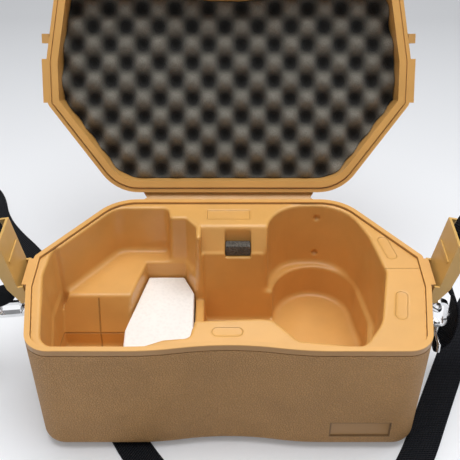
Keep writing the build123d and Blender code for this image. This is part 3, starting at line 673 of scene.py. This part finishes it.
def shared(tree, fill, **inputs):
    """Places a shader node group, which is built at its first use, and gives its outputs."""
    name, defaults, results = GROUPS[fill]
    group = bpy.data.node_groups.get(name)
    if group is None:
        group = bpy.data.node_groups.new(name, "ShaderNodeTree")
        for way, labels in (("INPUT", defaults), ("OUTPUT", results)):
            for label in labels:
                kind = SOCKET_KINDS.get(label, "NodeSocketFloat")
                socket = group.interface.new_socket(name=label, in_out=way, socket_type=kind)
                if way == "INPUT" and defaults[label] is not None:
                    socket.default_value = defaults[label]
        start, end = group.nodes.new("NodeGroupInput"), group.nodes.new("NodeGroupOutput")
        made = fill(group, *[start.outputs[label] for label in defaults])
        for label, value in zip(results, made):
            group.links.new(value, end.inputs[label])
    return add(tree, "ShaderNodeGroup", inputs, node_tree=group).outputs


def mottled(tree, place, value, scale, amount):
    """A colour varied by noise of a scale, by an amount."""
    return shared(tree, mottle, Vector=place, Color=rgba(value), Scale=scale, Amount=amount)[0]


def material(name, roughness, **settings):
    """A new material with a Principled shader whose plain sockets are set, and its object coordinates."""
    made = bpy.data.materials.new(name)
    made.use_nodes = True
    tree = made.node_tree
    tree.nodes.clear()
    out = tree.nodes.new("ShaderNodeOutputMaterial")
    values = {"Roughness": roughness}
    values.update({label.replace("_", " ").title(): value for label, value in settings.items()})
    shader = add(tree, "ShaderNodeBsdfPrincipled", {k.replace("Ior", "IOR"): v for k, v in values.items()})
    tree.links.new(shader.outputs[0], out.inputs[0])
    place = add(tree, "ShaderNodeTexCoord")
    return made, tree, shader, place.outputs["Object"]


def bump(tree, shader, height, strength, distance):
    """Feeds a height into the shader's normal."""
    node = add(tree, "ShaderNodeBump", {"Height": height, "Strength": strength, "Distance": distance})
    tree.links.new(node.outputs[0], shader.inputs["Normal"])


def past_rectangle(tree, place, spans):
    """How far a point lies outside a rectangle: the larger distance past its half sizes on two axes."""
    parts = coordinates(tree, place)
    past = []
    for axis, centre, half in spans:
        away = math(tree, "ABSOLUTE", math(tree, "SUBTRACT", parts[axis], centre * MM))
        past.append(math(tree, "SUBTRACT", away, half * MM))
    return math(tree, "MAXIMUM", *past)


def rectangle_mask(tree, place, spans):
    """One inside a rectangle and nought outside it, with a sharp edge."""
    return ramp(tree, past_rectangle(tree, place, spans), 0.0003, -0.0002)


def recess_masks(tree, place):
    """Inside the front wall's bare recess, and a thin line of painted shade along its edge."""
    spans = ((0, RECESS_MIDDLE[0], RECESS_HALF[0]), (2, RECESS_MIDDLE[1], RECESS_HALF[1]))
    front = math(tree, "LESS_THAN", coordinates(tree, place)[1], 0.0)
    near = math(tree, "ABSOLUTE", past_rectangle(tree, place, spans))
    line = ramp(tree, near, 0.0010, 0.0004, 0.0, 0.75)
    return [math(tree, "MULTIPLY", mask, front) for mask in (rectangle_mask(tree, place, spans), line)]


def slot_on(tree, flat, centre, half, radius, angle=0.0):
    """The mask of a slot that is given in millimetres, on a plane."""
    values = {"Centre": (centre[0] * MM, centre[1] * MM, 0.0), "Half": half * MM, "Radius": radius * MM}
    return shared(tree, slot_mask, Vector=flat, Angle=np.radians(angle), **values)[0]


def closed_place(tree, place):
    """Object coordinates of the open lid turned back to where they are with the lid shut."""
    c, s = np.cos(LID_ANGLE), np.sin(LID_ANGLE)
    y, z = FOLD_OPEN * MM
    move = (0, FOLD_Y * MM - (y * c - z * s), FOLD_CLOSED_Z * MM - (y * s + z * c))
    turned = add(tree, "ShaderNodeMapping", {"Vector": place, "Location": move, "Rotation": (LID_ANGLE, 0, 0)})
    return turned.outputs[0]


def shell_material(name, lid):
    """Outer plastic: smooth along the parting band and leather-grained beyond it, with painted shade in the
    grain's creases, on the band's upright face and along the front recess's edge.
    """
    made, tree, shader, place = material(name, 0.5)
    if lid:
        place = closed_place(tree, place)
    shell = colours().shell
    rise = coordinates(tree, place)[2]
    mask = ramp(tree, rise, *(LID_GRAIN_FROM if lid else BASE_GRAIN_FROM))
    plain = mottled(tree, place, shell, 28.0, 0.12)
    smooth = mottled(tree, place, colours().inner, 40.0, 0.08)
    grain = shared(tree, leather_grain, Vector=place, Scale=1.0 / sizes().grain)[0]
    # Painted shade: the grain's creases are darkened towards half the shell colour
    crease_shaded = mix_colour(tree, ramp(tree, grain, 0.0, 0.9, 0.55), rgba(shell, 0.50), plain)
    if not lid:
        inside, recess_edge_shade = recess_masks(tree, place)
        mask = math(tree, "MULTIPLY", mask, math(tree, "SUBTRACT", 1.0, inside))
    # Painted shade: below its top, the band's upright face and the front wall's recess take the shell colour
    # darkened; the shell colour is their own, the darkening is painted shade
    top = ramp(tree, rise, *(LID_BAND_FACE if lid else BASE_BAND_FACE))
    wall = mix_colour(tree, 0.45, plain, rgba(shell, 0.50))
    shade = mix_colour(tree, mask, mix_colour(tree, top, wall, smooth), crease_shaded)
    if not lid:
        # Painted shade: a dark line along the edge of the front wall's recess
        shade = mix_colour(tree, recess_edge_shade, shade, rgba(shell, 0.30))
    tree.links.new(shade, shader.inputs["Base Color"])
    bump(tree, shader, math(tree, "MULTIPLY", grain, mask), 0.9, 0.0006)
    tree.links.new(ramp(tree, mask, 0.0, 1.0, 0.40, 0.62), shader.inputs["Roughness"])
    return made


def plain_plastic(name, value, roughness):
    """Smooth moulded plastic with slow colour change, rub marks in its gloss and a faint orange peel."""
    made, tree, shader, place = material(name, roughness)
    tree.links.new(mottled(tree, place, value, 36.0, 0.10), shader.inputs["Base Color"])
    rough = ramp(tree, noise(tree, place, 55.0, 6.0)[0], 0.35, 0.7, roughness - 0.06, roughness + 0.08)
    tree.links.new(rough, shader.inputs["Roughness"])
    bump(tree, shader, noise(tree, place, 900.0, 2.0)[0], 0.2, 0.00006)
    return made


def tray_plastic():
    """The smooth plastic with crisp edges on its bare recesses, and fine seams on the right deck and on the
    left shelf's front end, with painted shade as dark lines along both."""
    made = plain_plastic("Tray plastic", colours().inner, INNER_ROUGHNESS)
    tree = made.node_tree
    found = {node.bl_idname: node for node in tree.nodes}
    base = found["ShaderNodeBsdfPrincipled"].inputs["Base Color"]
    place = found["ShaderNodeTexCoord"].outputs["Object"]
    flat = vector_math(tree, "MULTIPLY", {0: place, 1: (1.0, 1.0, 0.0)})[0]
    marks = rectangle_mask(tree, place, REAR_MARK)
    for mark in (*MARKS, DECK_SEAM):
        marks = math(tree, "ADD", slot_on(tree, flat, *mark), marks)
    x, _, z = coordinates(tree, place)
    marks = math(tree, "MULTIPLY", marks, ramp(tree, z, 0.1050, 0.1056))
    upright = slot_on(tree, in_plane(tree, z, x), *BLOCK_SEAM)
    along = slot_on(tree, in_plane(tree, x, z), *BLOCK_FOOT_SEAM)
    seams = math(tree, "MAXIMUM", along, upright)
    # Painted shade: dark lines along the recesses' edges and along the seams
    edge = math(tree, "MULTIPLY", marks, math(tree, "SUBTRACT", 1.0, marks))
    line = ramp(tree, math(tree, "MULTIPLY_ADD", edge, 2.4, seams), 0.0, 1.0, 0.0, 0.6)
    tree.links.new(mix_colour(tree, line, base.links[0].from_socket, rgba(colours().inner, 0.38)), base)
    height = math(tree, "ADD", marks, seams)
    step = add(tree, "ShaderNodeBump", {"Height": height, "Strength": 0.9, "Distance": 0.0005}, invert=True)
    tree.links.new(step.outputs[0], found["ShaderNodeBump"].inputs["Normal"])
    return made


def foam_material(name, value, cell, strength, amount, depth=0.0004, pore=0.45, pits=None):
    """Cut foam with open cells, with painted shade in the pores and, where pits gives two heights, painted
    shadow down in the pits.
    """
    made, tree, shader, place = material(name, 0.95, sheen_weight=0.15)
    varied = mottled(tree, place, value, 60.0, amount)
    height, pores = shared(tree, foam_cells, Vector=place, Scale=1.0 / cell)
    # Painted shade: the pores take a darkened share of the foam colour
    shade = mix_colour(tree, pores, rgba(value, pore), varied)
    if pits:
        # Painted shadow: the foam's pits turn nearly black with depth
        low = ramp(tree, coordinates(tree, closed_place(tree, place))[2], pits[0] * MM, pits[1] * MM)
        shade = mix_colour(tree, low, shade, rgba(value, 0.045))
    tree.links.new(shade, shader.inputs["Base Color"])
    bump(tree, shader, height, strength, depth)
    return made


def metal_material(name, value, roughness):
    """Bright plated metal with fine handling scratches in its gloss."""
    made, tree, shader, place = material(name, roughness, metallic=1.0)
    scratches = noise(tree, place, 420.0, 5.0)[0]
    tree.links.new(ramp(tree, scratches, 0.4, 0.75, roughness, roughness + 0.14), shader.inputs["Roughness"])
    tree.links.new(mottled(tree, place, value, 90.0, 0.12), shader.inputs["Base Color"])
    bump(tree, shader, scratches, 0.12, 0.00004)
    return made


def webbing_material():
    """Black twill webbing on the strap's own map, with a painted highlight on the yarns' crests."""
    finish = {"sheen_weight": 0.03, "sheen_roughness": 0.5, "specular_ior_level": 0.08}
    made, tree, shader, _ = material("Webbing", 0.82, **finish)
    flat = add(tree, "ShaderNodeUVMap", uv_map="Strap").outputs[0]
    weave = shared(tree, twill_weave, Vector=flat, Yarn=0.0019)[0]
    bump(tree, shader, weave, 1.0, 0.0005)
    base = colours().webbing
    # Painted highlight: the weave's crests are lightened to four and a half times the webbing colour
    shade = mix_colour(tree, ramp(tree, weave, -1.2, 1.4), rgba(base), rgba(base, 4.5))
    tree.links.new(shade, shader.inputs["Base Color"])
    return made


def dress(name, made):
    """Gives a CAD node its material."""
    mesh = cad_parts[name].data
    if mesh.materials:
        for place in range(len(mesh.materials)):
            mesh.materials[place] = made
    else:
        mesh.materials.append(made)


# Strap routes: x and z in millimetres on the strap's own side, then x and y on the floor
LOOP_ROUTE = {
    "right": [
        (162.2, 112.0), (164.4, 130.0), (167.6, 148.0), (173.0, 160.5), (184.0, 162.0), (193.0, 147.0),
        (199.0, 118.0), (203.0, 80.0), (205.0, 40.0), (210.0, 12.0), (224.0, 0.9), (240.0, 0.9),
    ],
    "left": [
        (160.6, 103.0), (163.4, 122.0), (167.0, 142.0), (172.0, 155.5), (183.0, 158.0), (193.0, 146.0),
        (200.0, 118.0), (204.0, 80.0), (205.0, 40.0), (210.0, 12.0), (224.0, 0.9), (240.0, 0.9),
    ],
}
# The loop follows its latch up to the first of these points and the case past the second: x and z on its side
END_ROUTE = {
    "right": [
        (169.6, 37.6), (175.0, 43.0), (177.4, 56.0), (177.0, 74.0), (172.0, 89.0), (161.2, 103.8),
        (162.2, 112.0),
    ],
    "left": [(191.5, 79.0), (181.0, 81.6), (169.5, 85.4), (159.3, 94.2), (160.6, 103.0)],
}
FLOOR_ROUTE = [
    (240.0, -5.0), (266.0, -5.0), (293.0, 16.0), (297.0, 56.0), (272.0, 90.0), (236.0, 93.0),
    (214.0, 60.0), (187.0, 3.0), (160.0, -53.5), (139.0, -98.5), (108.0, -143.0), (58.0, -166.0),
    (4.0, -160.0), (-40.0, -127.0), (-76.0, -80.0), (-103.0, -22.0), (-131.0, 40.0), (-163.0, 98.0),
    (-195.0, 142.0), (-222.0, 172.0), (-240.0, 200.0), (-250.0, 232.0), (-264.0, 251.0), (-284.0, 246.0),
    (-288.0, 212.0), (-288.0, 160.0), (-284.0, 106.0), (-282.0, 50.0), (-273.0, 13.0), (-256.0, -5.0),
    (-240.0, -5.0),
]
# Upper half of the webbing's section, in half widths and half thicknesses
SECTION_TOP = [(-1.0, 0.45), (-0.96, 1.0), (-0.5, 0.93), (0.0, 0.90), (0.5, 0.93), (0.96, 1.0), (1.0, 0.45)]
STRAP_Y = -5.0
STRAP_MID_Z = 0.9
# Centre of each eye's outer bar, x and z on its own side, and the radius at the middle of the turned webbing
EYE_BAR = {"right": (166.09, 36.91), "left": (197.85, 67.40)}
TURN_RADIUS = 2.75
# The strap's end is four pieces: names, bodies, and the cuts between them, as shares of the run
END_PARTS = (
    ("Strap_turn", "eye_{}", "hook_{}"),
    ("Strap_low", "hook_{}", "ring_{}"),
    ("Strap_middle", "ring_{}", "case"),
    ("Strap_top", "case", "latch_{}"),
)
END_CUTS = {"right": (0.0, 0.34, 0.66, 0.82, 1.0), "left": (0.0, 0.22, 0.52, 0.78, 1.0)}


def strap_points(sign, route):
    """A route on the strap's own side, as points in metres."""
    return [(sign * x * MM, STRAP_Y * MM, z * MM) for x, z in route]


def smooth_line(points):
    """The points of a quadratic NURBS line through a route, in metres."""
    curve = bpy.data.curves.new("Route", "CURVE")
    curve.dimensions = "3D"
    curve.resolution_u = 10
    spline = curve.splines.new("NURBS")
    spline.points.add(len(points) - 1)
    spline.points.foreach_set("co", [v for p in points for v in (*p, 1.0)])
    spline.order_u = 3
    spline.use_endpoint_u = True
    guide = bpy.data.objects.new("Route", curve)
    bpy.context.scene.collection.objects.link(guide)
    mesh = bpy.data.meshes.new_from_object(guide)
    line = np.zeros(len(mesh.vertices) * 3)
    mesh.vertices.foreach_get("co", line)
    bpy.data.objects.remove(guide)
    bpy.data.meshes.remove(mesh)
    bpy.data.curves.remove(curve)
    return line.reshape(-1, 3)


def ribbon(line, up=None, side=None):
    """A strap along a line: a flat section of 14 points carried along it. Either the side or the up direction
    is fixed, and the other is square to it and to the line. Also gives each point's place on the flat strap."""
    ahead = unit(np.gradient(line, axis=0))
    if side is not None:
        across = np.tile(side, (len(line), 1))
        rise = np.cross(ahead, across)
    else:
        rise = np.tile(up, (len(line), 1))
        across = np.cross(rise, ahead)
    across, rise = unit(across), unit(rise)
    half, thick = sizes().strap_width / 2, sizes().strap_thickness / 2
    section = np.array(SECTION_TOP + [(-u, -v) for u, v in SECTION_TOP]) * [half, thick]
    rings = line[:, None] + section[None, :, :1] * across[:, None] + section[None, :, 1:] * rise[:, None]
    run = run_along(line)
    flat = np.stack(np.broadcast_arrays(section[None, :, 0] + half, run[:, None]), -1)
    return list(rings), flat.reshape(-1, 2), float(run[-1])


def lay_map(piece, flat):
    """Stores each point's place on the flat strap as the piece's map, in metres."""
    layer = piece.data.uv_layers.new(name="Strap")
    corners = np.zeros(len(piece.data.loops), int)
    piece.data.loops.foreach_get("vertex_index", corners)
    layer.data.foreach_set("uv", flat[corners].ravel())


def strap_piece(name, line, webbing, body, **way):
    """A stretch of webbing along a line, with its map, and the stretch's length."""
    rings, flat, length = ribbon(line, **way)
    points, faces = loft(rings)
    piece = make_piece(name, points, faces, body, webbing)
    lay_map(piece, flat)
    return piece, length


class CaseOperator:
    """What every operator here shares."""

    bl_options = {"REGISTER", "UNDO"}

    def execute(self, context):
        self.build(context)
        return {"FINISHED"}


class CASE_OT_camera(CaseOperator, bpy.types.Operator):
    """Places the camera at the photograph's viewpoint"""

    bl_idname = "case.camera"
    bl_label = "Camera"

    def build(self, context):
        data = bpy.data.cameras.new("Camera")
        data.sensor_width = 36.0
        data.lens = 62.61
        data.shift_x = 0.003
        data.clip_start = 0.01
        camera = bpy.data.objects.new("Camera", data)
        camera.location = (0.0, -0.456, 0.5077)
        camera.rotation_euler = (np.radians(51.46), 0.0, 0.0)
        context.scene.collection.objects.link(camera)
        context.scene.camera = camera


class CASE_OT_strap(CaseOperator, bpy.types.Operator):
    """Lays the webbing strap from hook to hook"""

    bl_idname = "case.strap"
    bl_label = "Strap"

    def build(self, context):
        webbing = webbing_material()
        for side, sign in SIDES.items():
            line = smooth_line(strap_points(sign, LOOP_ROUTE[side]))
            across = np.array([0.0, sign, 0.0])
            loop, length = strap_piece(f"Strap_loop_{side}", line, webbing, None, side=across)
            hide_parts(f"strap_loop_{side}")
            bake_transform(loop)
            ends = self.end_pieces(side, sign, webbing)
        floor = smooth_line(np.array([(x, y, STRAP_MID_Z) for x, y in FLOOR_ROUTE]) * MM)
        strap, length = strap_piece("Strap_floor", floor, webbing, "case", up=np.array([0.0, 0.0, 1.0]))
        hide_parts("strap_floor")

    def end_pieces(self, side, sign, webbing):
        """The sewn end: a turn round the eye's bar and the run up into the latch, cut at each joint."""
        centre = np.array(EYE_BAR[side])
        away = np.array(END_ROUTE[side][0]) - centre
        away /= np.linalg.norm(away)
        base = np.arctan2(away[1], away[0])
        angles = base + np.radians(np.linspace(25, 335, 25))
        turn = centre + TURN_RADIUS * np.stack([np.cos(angles), np.sin(angles)], 1)
        sleeve = np.array(strap_points(sign, turn))
        start = centre + away * TURN_RADIUS
        run = smooth_line(strap_points(sign, [start, *END_ROUTE[side]]))
        across = np.array([0.0, sign, 0.0])
        rings, flat, _ = ribbon(run, side=across)
        around = len(rings[0])
        turn_rings, turn_flat, _ = ribbon(sleeve, side=across)
        turn_points, turn_faces = loft(turn_rings)
        stops = [round(cut * (len(run) - 1)) for cut in END_CUTS[side]]
        pieces = []
        for (name, lower, upper), first, last in zip(END_PARTS, stops, stops[1:]):
            points, faces = loft(rings[first : last + 1])
            caps = [len(faces) - 2, len(faces) - 1]
            places = flat[first * around : (last + 1) * around]
            if not pieces:
                faces = faces + [[len(points) + v for v in face] for face in turn_faces]
                points = np.concatenate([points, turn_points])
                places = np.concatenate([places, turn_flat])
            piece = make_piece(f"{name}_{side}", points, faces, None, webbing)
            for cap in caps:
                piece.data.polygons[cap].use_smooth = False
            lay_map(piece, places)
            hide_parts(f"strap_end_{side}")
            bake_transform(piece)
            pieces.append(piece)
        return pieces


class CASE_OT_shell(CaseOperator, bpy.types.Operator):
    """Finishes the base and lid mouldings, the lid's frame and the hinge strip"""

    bl_idname = "case.shell"
    bl_label = "Shell and lid"

    def build(self, context):
        dress("base_shell", shell_material("Base plastic", False))
        dress("lid_shell", shell_material("Lid plastic", True))
        inner = plain_plastic("Frame plastic", colours().inner, INNER_ROUGHNESS)
        dress("lid_frame", inner)
        dress("hinge_strip", inner)


class CASE_OT_tray(CaseOperator, bpy.types.Operator):
    """Builds the fitted tray with rounded edges"""

    bl_idname = "case.tray"
    bl_label = "Tray"

    def build(self, context):
        edge = 2.0 * sizes().tray_edge / MM
        step = sizes().tray_grid / MM
        ring = inset_outline(TRAY_INSET)

        def on_grid(xs, ys, zs):
            gx, gy = np.meshgrid(xs, ys, indexing="ij")
            flat = plan_distances(np.column_stack([gx.ravel(), gy.ravel()]))
            plans = [plan.reshape(gx.shape)[..., None] for plan in flat]
            return tray_solid(gx[..., None], gy[..., None], zs[None, None, :], plans, edge)

        def at_points(p):
            return tray_solid(p[:, 0], p[:, 1], p[:, 2], plan_distances(p[:, :2]), edge)

        points, quads = net(on_grid, *TRAY_BOX, (step, step, 1.3 * step))
        points, quads = clip_to(points, quads, ring, 1.3 * step)
        inner = side_distance(points[:, :2], ring) < -0.2
        nudge = 0.05
        for _ in range(2):
            value = at_points(points)
            slope = np.stack([at_points(points + nudge * way) - value for way in np.eye(3)], 1) / nudge
            size = np.maximum((slope**2).sum(1), 0.2)
            move = np.clip(value / size, -1.0, 1.0)[:, None] * slope
            points = np.where(inner[:, None], points - move, points)
        points, quads = with_skirt(points, quads, TRAY_UNDER_Z)
        tray = closed_piece("Tray", points, quads, "case", tray_plastic())
        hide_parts("base_tray")


class CASE_OT_foam(CaseOperator, bpy.types.Operator):
    """Builds the foam block, the small pad and the lid's egg-crate foam"""

    bl_idname = "case.foam"
    bl_label = "Foam"

    def build(self, context):
        self.block()
        self.pad()
        self.egg_crate()

    def block(self):
        """The white block: its slot's plan at the floor, drawn in by a gap, with rounded edges."""
        drawn = (DECK_Z - FLOOR_Z) * POCKET_SLOPE + FOAM_GAP
        ring = even(rounded(moved_sides(SLOT, drawn), [max(1.8, r - drawn) for r in SLOT_RADII]), 1.0)
        points, faces = soft_block(ring, *FOAM_HEIGHTS, 1.2)
        made = foam_material("White foam", colours().white_foam, 0.0030, 0.30, 0.03, 0.0003, 0.93)
        block = closed_piece("Foam_block", points, faces, "case", made)
        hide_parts("foam_block")

    def pad(self):
        """The grey pad: a small block with rounded edges in the rear notch."""
        ring = even(rounded(PAD_CORNERS, [0.8] * 4), 0.8)
        points, faces = soft_block(ring, *PAD_HEIGHTS, 0.8)
        made = foam_material("Grey foam", colours().grey_foam, 0.0017, 1.0, 0.45, 0.0006, pore=0.25)
        pad = closed_piece("Foam_pad", points, faces, "case", made)
        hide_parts("foam_pad")

    def egg_crate(self):
        """Egg-crate foam: height is a product of two cosines, raised to a power so that the peaks are
        full and the pits narrow, on a grid cut to the lid's inner outline."""
        step = sizes().foam_grid / MM
        ring = inset_outline(FOAM_INSET)
        x = np.arange(-150.0, 150.0, step)
        y = np.arange(-90.0, 90.0, step)
        gx, gy = np.meshgrid(x, y, indexing="ij")
        flat = np.column_stack([gx.ravel(), gy.ravel(), np.zeros(gx.size)])
        i, j = np.meshgrid(np.arange(len(x) - 1), np.arange(len(y) - 1), indexing="ij")
        a = (i * len(y) + j).ravel()
        quads = np.stack([a, a + 1, a + 1 + len(y), a + len(y)], 1)
        points, quads = clip_to(flat, quads, ring, 1.2 * step)
        u = 2 * np.pi * (points[:, 0] - PEAK_X) * MM / sizes().foam_pitch
        v = np.pi * (points[:, 1] - PEAK_Y) * MM / sizes().foam_row
        wave = np.cos(u) * np.cos(v)
        wave = np.sign(wave) * np.abs(wave) ** np.where(wave > 0, 0.85, 1.15)
        rise = np.random.default_rng(7).normal(0, 0.12, len(points))
        points[:, 2] = np.maximum(WAVE_MIDDLE_Z - WAVE_HEIGHT * wave + rise, PEAK_Z)
        points, quads = with_skirt(points, quads, FOAM_BACK_Z)
        made = foam_material("Lid foam", colours().dark_foam, 0.0010, 0.9, 0.30, pore=0.6, pits=PIT_SHADOW_HEIGHTS)
        foam = closed_piece("Lid_foam", lid_place(points), quads, "lid", made)
        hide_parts("lid_foam")


class CASE_OT_latches(CaseOperator, bpy.types.Operator):
    """Finishes the latches and their pins"""

    bl_idname = "case.latches"
    bl_label = "Latches"

    def build(self, context):
        plastic = plain_plastic("Latch plastic", colours().latch, 0.40)
        steel = metal_material("Steel pin", (0.56, 0.55, 0.53), 0.3)
        for side in SIDES:
            dress(f"latch_arm_{side}", plastic)
            dress(f"latch_pin_{side}", steel)


class CASE_OT_hardware(CaseOperator, bpy.types.Operator):
    """Finishes the brackets, rings and snap hooks"""

    bl_idname = "case.hardware"
    bl_label = "Hardware"

    def build(self, context):
        plated = metal_material("Plated metal", (0.80, 0.80, 0.81), 0.14)
        for side in SIDES:
            for name in ("ring_bracket", "bracket_rivets", "d_ring", "hook_body", "hook_gate", "hook_eye"):
                dress(f"{name}_{side}", plated)


TABLE_HALF = 4.0
# Each lamp's name, place, size and power
LAMPS = (
    ("Key", (0.10, 0.10, 1.7), 1.4, 26.5),
    ("Fill", (-1.2, -1.1, 1.3), 1.4, 1.3),
    ("Back", (0.0, 1.2, 1.4), 1.0, 6.0),
)


class CASE_OT_stage(CaseOperator, bpy.types.Operator):
    """Makes the floor, the lamps and the world"""

    bl_idname = "case.stage"
    bl_label = "Stage"

    def build(self, context):
        scene = context.scene
        made, tree, shader, place = material("Floor", 0.85)
        table = colours().floor
        varied = mottled(tree, place, table, 3.0, 0.02)
        # Painted shade: the floor darkens to 57 per cent of its colour further away
        far = ramp(tree, coordinates(tree, place)[1], -0.1, 0.7)
        tree.links.new(mix_colour(tree, far, varied, rgba(table, 0.57)), shader.inputs["Base Color"])
        # Painted light: near the camera the floor glows a little, for camera, glossy and transmission rays only
        light = add(tree, "ShaderNodeLightPath").outputs
        seen = light["Is Camera Ray"]
        for ray in ("Is Glossy Ray", "Is Transmission Ray"):
            seen = math(tree, "MAXIMUM", seen, light[ray])
        black = (0.0, 0.0, 0.0, 1.0)
        painted_near_glow = mix_colour(tree, seen, black, mix_colour(tree, far, (0.13, 0.135, 0.14, 1.0), black))
        tree.links.new(painted_near_glow, shader.inputs["Emission Color"])
        shader.inputs["Emission Strength"].default_value = 1.0
        points = [(x * TABLE_HALF, y * TABLE_HALF, 0) for x, y in ((-1, -1), (1, -1), (1, 1), (-1, 1))]
        floor = make_piece("Floor", points, [(0, 1, 2, 3)], None, made, smooth=False)
        for name, where, size, power in LAMPS:
            data = bpy.data.lights.new(name, "AREA")
            data.size = size
            data.energy = power
            lamp = bpy.data.objects.new(name, data)
            lamp.location = where
            scene.collection.objects.link(lamp)
            aim = Vector((0, 0, 0.08)) - Vector(where)
            lamp.rotation_euler = aim.to_track_quat("-Z", "Y").to_euler()
        world = bpy.data.worlds.new("World")
        scene.world = world
        world.use_nodes = True
        back = world.node_tree.nodes["Background"]
        back.inputs["Color"].default_value = (0.97, 0.98, 1.0, 1.0)
        back.inputs["Strength"].default_value = 0.33
        scene.view_settings.view_transform = "Standard"


OPERATORS = (
    CASE_OT_camera,
    CASE_OT_strap,
    CASE_OT_shell,
    CASE_OT_tray,
    CASE_OT_foam,
    CASE_OT_latches,
    CASE_OT_hardware,
    CASE_OT_stage,
)


class CASE_PT_panel(bpy.types.Panel):
    """Lists the sizes, colours and steps"""

    bl_idname = "CASE_PT_panel"
    bl_label = "Camera case"
    bl_space_type = "VIEW_3D"
    bl_region_type = "UI"
    bl_category = "Case"

    def draw(self, context):
        for group in (context.scene.case_sizes, context.scene.case_colours):
            for name in group.__annotations__:
                self.layout.prop(group, name)
        for operator in OPERATORS:
            self.layout.operator(operator.bl_idname)


CLASSES = (CaseSizes, CaseColours, *OPERATORS, CASE_PT_panel)


def register():
    for made in CLASSES:
        bpy.utils.register_class(made)
    bpy.types.Scene.case_sizes = PointerProperty(type=CaseSizes)
    bpy.types.Scene.case_colours = PointerProperty(type=CaseColours)


def unregister():
    del bpy.types.Scene.case_colours
    del bpy.types.Scene.case_sizes
    for made in reversed(CLASSES):
        bpy.utils.unregister_class(made)


def main():
    register()
    for operator in OPERATORS:
        group, name = operator.bl_idname.split(".")
        getattr(getattr(bpy.ops, group), name)()


if __name__ == "__main__":
    main()
